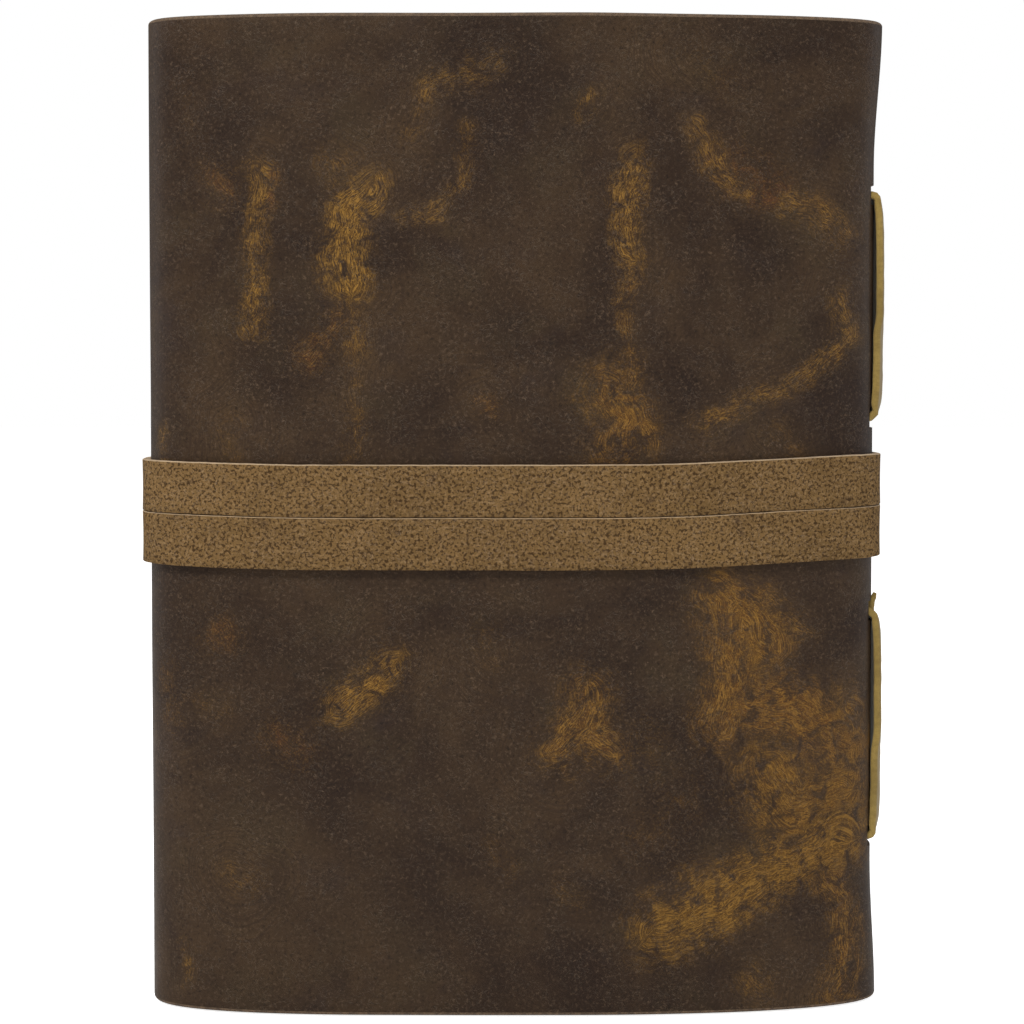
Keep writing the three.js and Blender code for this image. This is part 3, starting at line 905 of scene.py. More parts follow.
@shared
def strap_face():
    """Matte brushed leather with dense dark pores, a few stains and an ochre streak."""
    material, tree, shader = new_material("strap_face", 0.88, 0.05)
    where = strip_vector(tree)
    mottle = group(tree, "Mottle", -700, 500, where, Patch=22.0)
    grain = group(tree, "Leather grain", -700, -400, where, Size=0.8)
    scuffs = group(tree, "Scuffs", -700, -700, where, Amount=1.0)
    tone = colours().strap
    colour = mix_colour(tree, -400, 500, mottle["Broad"], tone, [c * 0.76 for c in tone])
    light = math_node(tree, "MULTIPLY", -550, 350, mottle["Close"], 0.42)
    colour = mix_colour(tree, -250, 450, light, colour, [c * 1.36 for c in tone])
    streaks = noise_node(tree, -700, 200, stretch(tree, -900, 200, where, (0.10, 0.75, 1.0)),
                         1.0, 5.0, 0.68, 0.6)
    ochre = math_node(tree, "MULTIPLY", -350, 200, step_node(tree, -500, 200, streaks, 0.60, 0.80), 0.5)
    colour = mix_colour(tree, -100, 400, ochre, colour, (0.200, 0.120, 0.038))
    stains = noise_node(tree, -700, 0, where, 0.20, 4.0, 0.65, 0.4)
    stains = math_node(tree, "MULTIPLY", -350, 0, step_node(tree, -500, 0, stains, 0.58, 0.74), 0.62)
    colour = mix_colour(tree, 50, 350, stains, colour, (0.050, 0.031, 0.020))
    follicles = noise_node(tree, -700, -150, where, 1.6, 2.0, 0.55, 0.3)
    follicles = step_node(tree, -500, -150, follicles, 0.50, 0.58)
    follicles = math_node(tree, "MULTIPLY", -350, -150, follicles, 0.86)
    colour = mix_colour(tree, 200, 300, follicles, colour, (0.036, 0.019, 0.008))
    nap = noise_node(tree, -700, -250, where, 1.45, 2.0, 0.6)
    nap = math_node(tree, "MULTIPLY", -350, -250, step_node(tree, -500, -250, nap, 0.53, 0.63), 0.45)
    colour = mix_colour(tree, 280, 300, nap, colour, (0.27, 0.172, 0.082))
    pores = math_node(tree, "MULTIPLY", -350, -300, grain["Pores"], 0.6)
    colour = mix_colour(tree, 350, 300, pores, colour, (0.045, 0.028, 0.018))
    pale = math_node(tree, "MULTIPLY", -350, -650, scuffs["Mask"], 0.35)
    colour = mix_colour(tree, 500, 300, pale, colour, (0.33, 0.235, 0.15))
    tree.links.new(colour, shader.inputs["Base Color"])
    bump(tree, shader, grain["Height"], 0.45, 0.10 * MM)
    return material


@shared
def strap_edge():
    return suede("strap_edge", colours().strap_edge, (0.20, 0.135, 0.08))


@shared
def strap_back():
    return suede("strap_back", [c * 1.1 for c in colours().strap], (0.06, 0.038, 0.022))


@shared
def thong_leather():
    return suede("thong_leather", colours().thong, (0.085, 0.052, 0.014))


@shared
def thong_edge():
    return suede("thong_edge", [c * 1.15 for c in colours().thong], (0.11, 0.065, 0.016))


@shared
def paper_sheet():
    """Uncoated handmade paper with soft fibres, darker flecks and warmer clouds."""
    material, tree, shader = new_material("paper_sheet", 0.93, 0.2)
    where = object_vector(tree)
    fibres = noise_node(tree, -700, 200, stretch(tree, -900, 200, where, (1.6, 1.6, 0.5)), 1.0, 5.0, 0.7, 1.0)
    cloud = noise_node(tree, -700, -100, where, 0.09, 4.0, 0.6)
    tone = colours().paper
    colour = mix_colour(tree, -300, 200, step_node(tree, -500, -100, cloud, 0.35, 0.7), tone,
                        (tone[0] * 0.86, tone[1] * 0.80, tone[2] * 0.70))
    flecks = math_node(tree, "MULTIPLY", -350, 0, step_node(tree, -500, 200, fibres, 0.62, 0.74), 0.4)
    colour = mix_colour(tree, 0, 200, flecks, colour, (0.42, 0.33, 0.21))
    tree.links.new(colour, shader.inputs["Base Color"])
    bump(tree, shader, fibres, 0.35, 0.08 * MM)
    return material


@shared
def woven_cloth():
    """Plain-woven cotton of the liner, darker between the threads as painted shade."""
    material, tree, shader = new_material("woven_cloth", 0.95, 0.15)
    where = object_vector(tree)
    warp = add(tree, "ShaderNodeTexWave", -700, 200, Scale=0.55, Distortion=0.6, Detail=1.0)
    warp.bands_direction = "Y"
    weft = add(tree, "ShaderNodeTexWave", -700, -100, Scale=0.55, Distortion=0.6, Detail=1.0)
    weft.bands_direction = "Z"
    for wave in (warp, weft):
        tree.links.new(where, wave.inputs["Vector"])
    weave = math_node(tree, "MULTIPLY", -450, 0, warp.outputs["Fac"], weft.outputs["Fac"])
    # The colour follows the bump: darker where the weave dips between the threads, painted shade.
    colour = mix_colour(tree, -200, 100, weave, (0.23, 0.18, 0.12), (0.46, 0.38, 0.26))
    tree.links.new(colour, shader.inputs["Base Color"])
    bump(tree, shader, weave, 0.6, 0.2 * MM)
    return material


@shared
def linen_thread():
    """Twisted waxed thread, darker in the grooves of its twist as painted shade."""
    material, tree, shader = new_material("linen_thread", 0.6, 0.4)
    where = object_vector(tree)
    twist = add(tree, "ShaderNodeTexWave", -700, 0, Scale=0.9, Distortion=1.5, Detail=2.0)
    twist.bands_direction = "DIAGONAL"
    tree.links.new(where, twist.inputs["Vector"])
    tone = colours().thread
    # The colour follows the bump: darker where the twist dips, painted shade in the grooves between plies.
    colour = mix_colour(tree, -200, 100, twist.outputs["Fac"], [c * 0.55 for c in tone], tone)
    tree.links.new(colour, shader.inputs["Base Color"])
    bump(tree, shader, twist.outputs["Fac"], 0.8, 0.15 * MM)
    return material


def hide_materials():
    return (hide_grain(), hide_flesh(), hide_edge())


# ---- Hide pieces -------------------------------------------------------------------------------
# The hide's length is counted along its outside from the middle of the back cover: positive
# towards the spine and on to the front cover, negative round the fore-edge and on to the flap.

HIDE_STEP = 1.3 * MM
SEAM_X = -50 * MM              # where the back cover's mesh hands over to the fore-edge wrap's


def hide_section():
    return strip_section(HEIGHT, sizes().hide, rounding=0.8 * MM, outer_step=1.5 * MM, inner_step=5 * MM)


def hide_piece(name, route, start_length, end_round, nodes, laced=False):
    """One stretch of the hide, which bends across one fold and takes the place of some nodes."""
    lengths = run_lengths(route, start_length)
    piece = upright_strip(name, route, lengths, hide_section(), hide_materials(), hide_shape, end_round)
    brush_rubs(piece)
    if laced:
        cut_slots(piece)
    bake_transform(piece)
    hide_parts(*nodes)


def back_route():
    """From the seam on the back cover to the middle of the spine."""
    face = curve_points(lambda x: skin_y(x, BACK), SEAM_X, 0.0)
    return evenly(face[:-1] + spine_quarter(BACK), HIDE_STEP)


def back_half_length():
    """Length of the hide from the middle of the back cover to the middle of the spine."""
    return run_lengths(spine_quarter(BACK), 0.0)[-1]


class JOURNAL_OT_back_cover(bpy.types.Operator):
    """Builds the back cover, round to the middle of the spine"""

    bl_idname = "journal.back_cover"
    bl_label = "Back cover and spine"

    def execute(self, context):
        hide_piece("back_cover_hide", back_route(), SEAM_X,
                   (False, False), ["back_cover"], laced=True)
        return {"FINISHED"}


class JOURNAL_OT_front_cover(bpy.types.Operator):
    """Builds the other half of the spine and the front cover, which lies under the flap"""

    bl_idname = "journal.front_cover"
    bl_label = "Spine and front cover"

    def execute(self, context):
        face = curve_points(cover_y, 0.0, COVER_EDGE_X)
        route = evenly(spine_quarter(FRONT)[::-1] + face[1:], HIDE_STEP)
        hide_piece("front_cover_hide", route, back_half_length(),
                   (False, True), ["spine_panel", "front_cover"], laced=True)
        return {"FINISHED"}


class JOURNAL_OT_fore_edge_wrap(bpy.types.Operator):
    """Builds the back half of the wrap that covers the fore-edge"""

    bl_idname = "journal.fore_edge_wrap"
    bl_label = "Fore-edge wrap"

    def execute(self, context):
        route = evenly(wrap_quarter(BACK, SEAM_X), HIDE_STEP)[::-1]
        start_length = SEAM_X - run_lengths(route, 0.0)[-1]
        hide_piece("fore_edge_wrap_hide", route, start_length,
                   (False, False), ["fore_edge_wrap"])
        return {"FINISHED"}


class JOURNAL_OT_front_flap(bpy.types.Operator):
    """Builds the front half of the wrap and the flap that closes over the front cover"""

    bl_idname = "journal.front_flap"
    bl_label = "Front flap"

    def execute(self, context):
        half_wrap = run_lengths(evenly(wrap_quarter(BACK, SEAM_X), HIDE_STEP), 0.0)[-1]
        face = curve_points(flap_y, 0.0, FLAP_EDGE_X)[::-1]
        route = evenly(face[:-1] + wrap_quarter(FRONT, 0.0), HIDE_STEP)
        start_length = SEAM_X - half_wrap - run_lengths(route, 0.0)[-1]
        hide_piece("front_flap_hide", route, start_length,
                   (True, False), ["front_flap"])
        return {"FINISHED"}


# ---- Strap -------------------------------------------------------------------------------------

ANCHOR_START_X = 3 * MM
ANCHOR_END_X = 40 * MM
CROSSING_START_X = -24 * MM
CROSSING_END_X = 50 * MM
TAIL_START_X = -52 * MM
TAIL_TIP_X = -4 * MM
TAIL_ROUND = 5 * MM            # length over which its end is rounded
TAIL_LENGTH_START = 0.9        # metres along the strap, past the end of its wound part
STRAP_LIFT = 2.3 * MM          # the crossing rides this high over the anchored run
LEAD = 2 * MM
RAMP = 9 * MM
SNUG = 0.12 * MM               # air between the strap and the hide
STRAP_RAISE = 0.33 * MM        # how far its lower edge lies over that of its frame node
SPINE_RISE = 1.6 * MM          # how far the turns rise at the spine
WRAP_RISE = 0.5 * MM           # and at the fore-edge
STRAP_STEP = 1.2 * MM
STRAP_WAVER = 0.10 * MM        # how far its cut edges stray from a straight line
EDGE_CURL = 0.05 * MM          # its edges stand this far off the hide
FACE_CURL = 0.09 * MM          # and its middle lies this much lower than they do
SPINE_SIDE_X = 56 * MM         # where a turn leaves the front for the spine
AFTER_SPINE_X = 53 * MM
WRAP_SIDE_X = -61 * MM         # and for the fore-edge
BEFORE_WRAP_X = -58 * MM


def front_bed_y(x):
    """What the strap rests on along the front: the flap, then the cover beyond its edge."""
    past = smooth((x - FLAP_EDGE_X) / (ANCHOR_END_X - FLAP_EDGE_X))
    return flap_y(x) + (skin_y(x, FRONT) - flap_y(x)) * past + SNUG


def crossing_lift(x):
    """How far the crossing stands off the front, to clear the strap's anchored run."""
    up = smooth((x - CROSSING_START_X - LEAD) / RAMP)
    down = smooth((x - (CROSSING_END_X - LEAD - RAMP)) / RAMP)
    return STRAP_LIFT * (up - down)


def crossing_drop(x):
    """How far the crossing has come down from the upper turn to the lower."""
    start = CROSSING_START_X + LEAD + RAMP
    end = CROSSING_END_X - LEAD - RAMP
    return (STRAP_Z["lower"] - STRAP_Z["upper"]) * smooth((x - start) / (end - start))


def front_run(start, end, bottom, lift=lambda x: 0.0, drop=lambda x: 0.0):
    """Points of the strap's inner face along the front, as (x, y, z of its lower edge)."""
    return [Vector((p.x, p.y, bottom + drop(p.x)))
            for p in curve_points(lambda x: front_bed_y(x) + lift(x), start, end, 60)]


def turn_rise(point):
    """The strap rises a little as it leaves the flat of the cover, most at the spine."""
    near_spine = smooth((point.x - 20 * MM) / (55 * MM))
    near_wrap = smooth((-point.x - 40 * MM) / (35 * MM))
    return SPINE_RISE * near_spine + WRAP_RISE * near_wrap


def one_turn(bottom):
    """Round the spine, along the back and round the fore-edge."""
    plan = (spine_quarter(FRONT, SPINE_SIDE_X) + spine_quarter(BACK)[::-1][1:]
            + curve_points(lambda x: skin_y(x, BACK), 0.0, BEFORE_WRAP_X)[1:]
            + wrap_quarter(BACK, WRAP_SIDE_X)[1:] + wrap_quarter(FRONT, WRAP_SIDE_X)[::-1][1:])
    plan = offset(evenly(plan, STRAP_STEP), SNUG)
    return [Vector((p.x, p.y, bottom)) for p in plan]


def thin_out(points, spacing):
    """Evenly spaced points on a route in space, eased over its corners."""
    even = evenly(points, spacing)
    for _ in range(3):
        even = [even[0]] + [(a + 2 * b + c) / 4 for a, b, c in zip(even, even[1:], even[2:])] + [even[-1]]
    return even


def strap_route():
    """From the anchor once round at the upper height, across to the lower and once round there."""
    upper, lower = STRAP_Z["upper"], STRAP_Z["lower"]
    return thin_out(
        front_run(ANCHOR_START_X, AFTER_SPINE_X, upper)
        + one_turn(upper)
        + front_run(BEFORE_WRAP_X, CROSSING_START_X, upper)
        + front_run(CROSSING_START_X + STRAP_STEP, CROSSING_END_X, upper, crossing_lift, crossing_drop)
        + front_run(CROSSING_END_X + 1 * MM, AFTER_SPINE_X, lower)
        + one_turn(lower)
        + front_run(BEFORE_WRAP_X, TAIL_START_X, lower), STRAP_STEP)


def ribbon_strip(name, points, width, thickness, section, materials, start_length, tip=0.0):
    """A strip whose inner face follows points, which give its lower edge.

    tip is the length over which its far end narrows.
    """
    lengths = run_lengths(points, start_length)
    count = len(points)

    def place(i, depth, across):
        tangent = (points[min(i + 1, count - 1)] - points[max(i - 1, 0)]).normalized()
        plan = Vector((tangent.x, tangent.y)).normalized()
        outward = Vector((-plan.y, plan.x, 0.0))
        up = tangent.cross(outward)
        if up.z < 0:
            up = -up
        from_middle = across - width / 2
        if tip:
            left = min(1.0, (lengths[-1] - lengths[i]) / tip)
            from_middle *= max(math.sqrt(max(0.0, 1 - (1 - left) ** 2)), 0.12)
        side = 3.0 if across > width / 2 else 9.0
        stray = noise.noise(Vector((lengths[i] * 60, 4.0, side))) * STRAP_WAVER
        stray += noise.noise(Vector((lengths[i] * 310, 4.0, side))) * STRAP_WAVER * 0.6
        stray *= abs(2 * across / width - 1)
        curl = EDGE_CURL - FACE_CURL * math.cos(math.pi * (across / width - 0.5))
        middle = Vector((0, 0, width / 2 + STRAP_RAISE + turn_rise(points[i])))
        base = points[i] + Vector((CENTRE_X, CENTRE_Y, 0)) + middle
        return base + outward * (thickness - depth + curl) + up * (from_middle + stray)

    return make_strip(name, place, section, lengths, materials)


def strap_section(width, thickness):
    """The strap's upper edge is skived and shows its raw fibres; its lower edge is nearly square, and the
    outer part of the lower edge takes the strap face's dark colour instead of pale fibres, as painted shade.
    """
    points = []
    skive = 0.20 * MM
    low = 0.14 * MM
    steps = 7
    for i in range(steps):
        points.append((0.0, low + (width - skive - low) * i / steps, OUTER))
    rim = ((0.0, width - skive), (0.12 * MM, width - 0.10 * MM), (0.45 * MM, width - 0.02 * MM),
           (1.1 * MM, width), (thickness - 0.1 * MM, width - 0.1 * MM))
    points += [(depth, place, EDGE) for depth, place in rim]
    for i in range(steps):
        points.append((thickness, (width - 0.3 * MM) - (width - 0.6 * MM) * i / steps, INNER))
    # Only the inner part of the lower edge shows pale fibres; its outer part takes the face colour, painted
    # shade where the edge faces down.
    points += [(thickness, 0.3 * MM, EDGE), (thickness - 0.1 * MM, 0.1 * MM, EDGE), (1.1 * MM, 0.0, EDGE),
               (0.5 * MM, 0.0, OUTER), (0.14 * MM, 0.04 * MM, OUTER)]
    return points


def strap_materials():
    return (strap_face(), strap_back(), strap_edge())


class JOURNAL_OT_strap(bpy.types.Operator):
    """Winds the strap twice round the closed journal, from its anchor on the flap"""

    bl_idname = "journal.strap"
    bl_label = "Strap"

    def execute(self, context):
        own = sizes()
        section = strap_section(own.strap_width, own.strap)
        strap = ribbon_strip("strap_wound", strap_route(), own.strap_width, own.strap, section,
                             strap_materials(), 0.0)
        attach(strap, "flap")
        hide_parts("strap_anchor_run", "strap_upper_turn", "strap_crossing", "strap_lower_turn")

        tail_points = thin_out(front_run(TAIL_START_X, TAIL_TIP_X, STRAP_Z["lower"]), STRAP_STEP)
        tail = ribbon_strip("strap_tail_end", tail_points, own.strap_width, own.strap, section,
                            strap_materials(), TAIL_LENGTH_START, tip=TAIL_ROUND)
        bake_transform(tail)
        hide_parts("strap_tail")
        return {"FINISHED"}


# ---- Stitches ----------------------------------------------------------------------------------

THREAD_RADIUS = 0.36 * MM
THREAD_SAG = 0.45 * MM         # how far a stitch's ends sink into the strap
STITCH_INSET = 1.9 * MM        # from the strap's edges and its anchored end
STITCH_LENGTH = 2.6 * MM
STITCH_GAP = 1.2 * MM


def cut_across(heights):
    """Divides the active piece's mesh by level planes, for shaping."""
    bpy.ops.object.mode_set(mode="EDIT")
    for height in heights:
        bpy.ops.mesh.select_all(action="SELECT")
        bpy.ops.mesh.bisect(plane_co=(0, 0, height), plane_no=(0, 0, 1))
    bpy.ops.object.mode_set(mode="OBJECT")


def stitch(start, end):
    """One stitch: a short thread that comes up out of the leather and goes down again."""
    length = (end - start).length
    bpy.ops.object.select_all(action="DESELECT")
    bpy.ops.mesh.primitive_cylinder_add(vertices=10, radius=THREAD_RADIUS, depth=length)
    thread = bpy.context.object
    thread.name = "thread"
    cut_across([length * (share - 0.5) for share in (0.2, 0.4, 0.6, 0.8)])
    turn = (end - start).to_track_quat("Z", "Y")
    middle = (start + end) / 2
    half = length / 2
    for vertex in thread.data.vertices:
        share = vertex.co.z / half
        narrow = 1 - 0.35 * share ** 6
        local = Vector((vertex.co.x * narrow, vertex.co.y * narrow, vertex.co.z))
        vertex.co = middle + turn @ local - Vector((0, THREAD_SAG, 0)) * share * share
    bpy.ops.object.shade_smooth_by_angle(angle=math.radians(60))
    thread.data.materials.append(linen_thread())
    return thread


def join(pieces, name):
    """Several pieces made one mesh."""
    bpy.ops.object.select_all(action="DESELECT")
    for piece in pieces:
        piece.select_set(True)
    bpy.context.view_layer.objects.active = pieces[0]
    bpy.ops.object.join()
    pieces[0].name = name
    pieces[0].data.name = name
    return pieces[0]


class JOURNAL_OT_anchor_stitches(bpy.types.Operator):
    """Sews the strap's anchored end to the flap with two rows of stitches"""

    bl_idname = "journal.anchor_stitches"
    bl_label = "Anchor stitches"

    def execute(self, context):
        own = sizes()
        threads = []
        low = STRAP_Z["upper"] + STRAP_RAISE
        rows = (low + STITCH_INSET, low + own.strap_width - STITCH_INSET)
        for row, z in enumerate(rows):
            for k in range(5 if row else 2):
                x = ANCHOR_START_X + STITCH_INSET + k * (STITCH_LENGTH + STITCH_GAP)
                y = front_bed_y(x) + own.strap + 0.22 * MM
                start = Vector((x + CENTRE_X, y + CENTRE_Y, z))
                end = start + Vector((STITCH_LENGTH, 0, 0))
                threads.append(stitch(start, end))
        seam = join(threads, "anchor_stitching")
        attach(seam, "flap")
        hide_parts("anchor_stitch_1", "anchor_stitch_2", "anchor_stitch_3")
        return {"FINISHED"}


# ---- Lacing thong ------------------------------------------------------------------------------

SLOTS_Z = (34.2 * MM, 81.6 * MM, 121.9 * MM, 168.2 * MM)
SLOT_HEIGHT = 4.2 * MM
THONG_WIDTH = 9 * MM
THONG_CUP = 0.85 * MM          # how far its long edges bend back towards the spine
TIP_LENGTH = 4.4 * MM
TIP_PLACE = (-0.3 * MM, -2.6 * MM, 1.6 * MM)   # of its middle, from the second slot


def thong_stops():
    """The thong's middle line as (x from the journal's middle, z)."""
    inside = HALF_WIDTH - 4.9 * MM
    slot_x = HALF_WIDTH - 1.0 * MM
    bow = HALF_WIDTH + 1.2 * MM
    peak = HALF_WIDTH + 1.6 * MM
    tail, turn = 13 * MM, 3.4 * MM
    first, second, third, fourth = SLOTS_Z

    def bow_stops(low, high):
        return [(slot_x, low), (bow, low + turn), (peak - 0.1 * MM, low + (high - low) * 0.3),
                (peak, low + (high - low) * 0.62), (bow, high - turn), (slot_x, high)]

    return ([(inside, first + tail), (inside, first + turn)] + bow_stops(first, second)
            + [(inside, second + turn), (inside, third - turn)] + bow_stops(third, fourth)
            + [(inside, fourth - turn), (inside, fourth - tail)])


def spline(stops, spacing):
    """A smooth route through the stops, by a Catmull-Rom curve."""
    points = []
    ends = [stops[0]] + list(stops) + [stops[-1]]
    for a, b, c, d in zip(ends, ends[1:], ends[2:], ends[3:]):
        for k in range(12):
            t = k / 12
            points.append(Vector([
                0.5 * (2 * b[n] + (c[n] - a[n]) * t
                       + (2 * a[n] - 5 * b[n] + 4 * c[n] - d[n]) * t * t
                       + (3 * b[n] - a[n] - 3 * c[n] + d[n]) * t ** 3) for n in range(2)]))
    points.append(Vector(stops[-1]))
    return evenly(points, spacing)


class JOURNAL_OT_lacing(bpy.types.Operator):
    """Laces the leather thong through the four slots of the spine"""

    bl_idname = "journal.lacing"
    bl_label = "Lacing thong"

    def execute(self, context):
        own = sizes()
        route = spline(thong_stops(), 0.8 * MM)
        lengths = run_lengths(route, 0.0)
        section = strip_section(THONG_WIDTH, own.thong, rounding=0.45 * MM, outer_step=1 * MM,
                                inner_step=1 * MM, corner=3)

        def place(i, depth, across):
            along = (route[min(i + 1, len(route) - 1)] - route[max(i - 1, 0)]).normalized()
            normal = Vector((along.y, -along.x))
            ragged = 1 + 0.5 * noise.noise(Vector((lengths[i] * 420, across * 300, 2.2)))
            edge = noise.noise(Vector((lengths[i] * 190, 1.5 if across > THONG_WIDTH / 2 else 7.5, 0)))
            out = own.thong / 2 - depth + 0.16 * MM * (ragged - 1)
            point = route[i] + normal * out
            side = (across - THONG_WIDTH / 2) * (1 + 0.05 * edge)
            outside = smooth((route[i].x - HALF_WIDTH) / (1.4 * MM))
            cup = THONG_CUP * outside * (2 * side / THONG_WIDTH) ** 2
            if side < 0:
                cup *= 1 + 0.7 * self.lies_flat(route[i].y)
            return Vector((point.x + CENTRE_X - cup, CENTRE_Y + side, point.y))

        thong = make_strip("lacing_thong_strip", place, section, lengths,
                           (thong_leather(), thong_leather(), thong_edge()))
        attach(thong, "spine")
        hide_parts("lacing_thong")
        self.add_end()
        return {"FINISHED"}

    @staticmethod
    def lies_flat(z):
        """1 in the lower part of each bow, where the thong's edge lies against the hide."""
        for low, high in (SLOTS_Z[:2], SLOTS_Z[2:]):
            if low < z < high:
                return smooth((0.48 - (z - low) / (high - low)) / 0.12)
        return 0.0

    @staticmethod
    def add_end():
        """The thong's trimmed corner, which stands out of the second slot."""
        bpy.ops.object.select_all(action="DESELECT")
        bpy.ops.mesh.primitive_cone_add(vertices=9, radius1=1.0 * MM, radius2=0.25 * MM,
                                        depth=TIP_LENGTH, location=(0, 0, 0))
        tip = bpy.context.object
        tip.name = "lacing_thong_tip"
        cut_across([TIP_LENGTH * share for share in (-0.3, -0.1, 0.1, 0.3)])
        base = Vector((HALF_WIDTH + CENTRE_X, CENTRE_Y, SLOTS_Z[1])) + Vector(TIP_PLACE)
        turn = Vector((0.45, 0, 1)).to_track_quat("Z", "Y")
        for vertex in tip.data.vertices:
            rough = 1 + 0.25 * noise.noise(vertex.co * 1500)
            local = Vector((vertex.co.x * 0.75 * rough, vertex.co.y * 1.5 * rough, vertex.co.z))
            vertex.co = base + turn @ local
        bpy.ops.object.shade_smooth_by_angle(angle=math.radians(60))
        tip.data.materials.append(thong_tip())
        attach(tip, "spine")


@shared
def thong_tip():
    return suede("thong_tip", colours().thong, (0.11, 0.065, 0.016), vector=object_vector)


def cut_slots(piece):
    """Cuts the thong's four slots through a piece of the spine."""
    for height in SLOTS_Z:
        bpy.ops.object.select_all(action="DESELECT")
        bpy.ops.mesh.primitive_cube_add(size=1.0, location=(HALF_WIDTH + CENTRE_X, CENTRE_Y, height))
        cutter = bpy.context.object
        cutter.dimensions = (12 * MM, THONG_WIDTH + 0.8 * MM, SLOT_HEIGHT)
        bpy.ops.object.transform_apply(location=True, rotation=True, scale=True)
        for material in hide_materials():
            cutter.data.materials.append(material)
        for polygon in cutter.data.polygons:
            polygon.material_index = EDGE
        bpy.context.view_layer.objects.active = piece
        boolean = piece.modifiers.new("slot", "BOOLEAN")
        boolean.operation = "DIFFERENCE"
        boolean.object = cutter
        bpy.ops.object.modifier_apply(modifier=boolean.name)
        bpy.data.objects.remove(cutter)


# ---- Paper -------------------------------------------------------------------------------------

SIGNATURES = 8
PAPER_CLEARANCE = 2.6 * MM     # from the outside of the cover to the outermost leaf
PAPER_THICKNESS = 0.11 * MM
LEAF_MARGIN = 0.12 * MM        # air between the outer leaves of two signatures
SHEET_CREEP = 0.16 * MM        # each sheet's fore-edge lies this much inside that of the one round it
UNEVEN_TRIM = 0.09 * MM        # step by which the signatures' fore-edges differ
TAPER_X = 52 * MM              # where the leaves start to draw together towards their folds
FOLD_X = JOINTS["signature_1_hinge"]["pos_m"][0] - CENTRE_X
PAPER_EDGE_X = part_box("signature_1")[0].x - CENTRE_X
FOLD_RADIUS = 0.6 * MM


def leaf_y(x, fraction):
    """A leaf's place between the back cover at 0 and the front cover at 1."""
    back = skin_y(x, BACK) + PAPER_CLEARANCE
    front = cover_y(x) - PAPER_CLEARANCE
    return back + (front - back) * fraction


def sheet_route(index, sheet, count):
    """A folded sheet seen from above: out along one leaf, round the fold and back."""
    low, high = index / SIGNATURES, (index + 1) / SIGNATURES
    inset = (sheet + 0.5) / (2 * count)
    near = low + (high - low) * inset
    far = high - (high - low) * inset
    edge = PAPER_EDGE_X + sheet * SHEET_CREEP + (index * 37 % 5) * UNEVEN_TRIM
    fold_y = leaf_y(FOLD_X, (low + high) / 2)
    radius = FOLD_RADIUS * (1 - (sheet + 0.3) / count)
    first = curve_points(lambda x: leaf_y(x, near) + LEAF_MARGIN * (1 - 2 * inset), edge, TAPER_X, 14)
    last = curve_points(lambda x: leaf_y(x, far) - LEAF_MARGIN * (1 - 2 * inset), edge, TAPER_X, 14)
    fold = [Vector((FOLD_X + radius * math.cos(a), fold_y + radius * math.sin(a)))
            for a in [math.pi * (k / 6 - 0.5) for k in range(7)]]
    return first + fold + last[::-1]


class JOURNAL_OT_signatures(bpy.types.Operator):
    """Folds and gathers the sheets of every signature"""

    bl_idname = "journal.signatures"
    bl_label = "Paper signatures"

    def execute(self, context):
        count = sizes().sheets
        low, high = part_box("signature_1")
        section = strip_section(high.z - low.z, PAPER_THICKNESS, rounding=0.05 * MM, outer_step=14 * MM,
                                inner_step=14 * MM, corner=1)
        for index in range(SIGNATURES):
            sheets = []
            for sheet in range(count):
                route = sheet_route(index, sheet, count)
                lengths = run_lengths(route, 0.0)
                seed = index * 7.3 + sheet * 1.9
                sheets.append(upright_sheet(route, lengths, section, low.z, high.z - low.z, seed))
            signature = join(sheets, f"signature_{index + 1}_sheets")
            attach(signature, f"signature_{index + 1}")
            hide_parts(f"signature_{index + 1}")
        return {"FINISHED"}


def upright_sheet(route, lengths, section, bottom, height, seed):
    """One folded sheet, with torn, wavering head, tail and fore-edge."""
    outward = normals(route)

    def place(i, depth, across):
        point = route[i] - outward[i] * depth
        near_end = smooth(abs(across / height - 0.5) * 6 - 2)
        torn = noise.noise(Vector((lengths[i] * 90, seed, 2.0))) * 0.5 * MM
        shorter = (0.2 + 0.5 * noise.noise(Vector((seed, 3.3, 0.7)))) * MM
        way = 1 if across > height / 2 else -1
        z = bottom + across - way * near_end * (abs(torn) + abs(shorter))
        deckle = 0.0
        if i in (0, len(route) - 1):
            deckle = abs(noise.noise(Vector((across * 70, seed, 5.0)))) * 0.9 * MM
        return Vector((point.x + CENTRE_X + deckle, point.y + CENTRE_Y, z))

    return make_strip("sheet", place, section, lengths, [paper_sheet()] * 3)


class JOURNAL_OT_binding(bpy.types.Operator):
    """Gives the liner its weave and the sewing its twist"""

    bl_idname = "journal.binding"
    bl_label = "Liner and sewing"

    def execute(self, context):
        nodes = frame["nodes"]
        stations = [n for name, n in nodes.items() if name.startswith("sewing_thread")]
        for piece, material in [(nodes["spine_liner"], woven_cloth())] + [
                (piece, linen_thread()) for piece in stations]:
            piece.data.materials.clear()
            piece.data.materials.append(material)
        return {"FINISHED"}


# ---- Stage -------------------------------------------------------------------------------------

def area_light(name, place, aim, size, power, colour=(1, 1, 1)):
    """A rectangular lamp at a place, turned to its aim."""
    data = bpy.data.lights.new(name, "AREA")
    data.shape = "RECTANGLE"
    data.size, data.size_y = size
    data.energy = power
    data.color = colour
    lamp = bpy.data.objects.new(name, data)
    bpy.context.scene.collection.objects.link(lamp)
    lamp.location = place
    lamp.rotation_mode = "QUATERNION"
    lamp.rotation_quaternion = (Vector(place) - Vector(aim)).to_track_quat("Z", "Y")


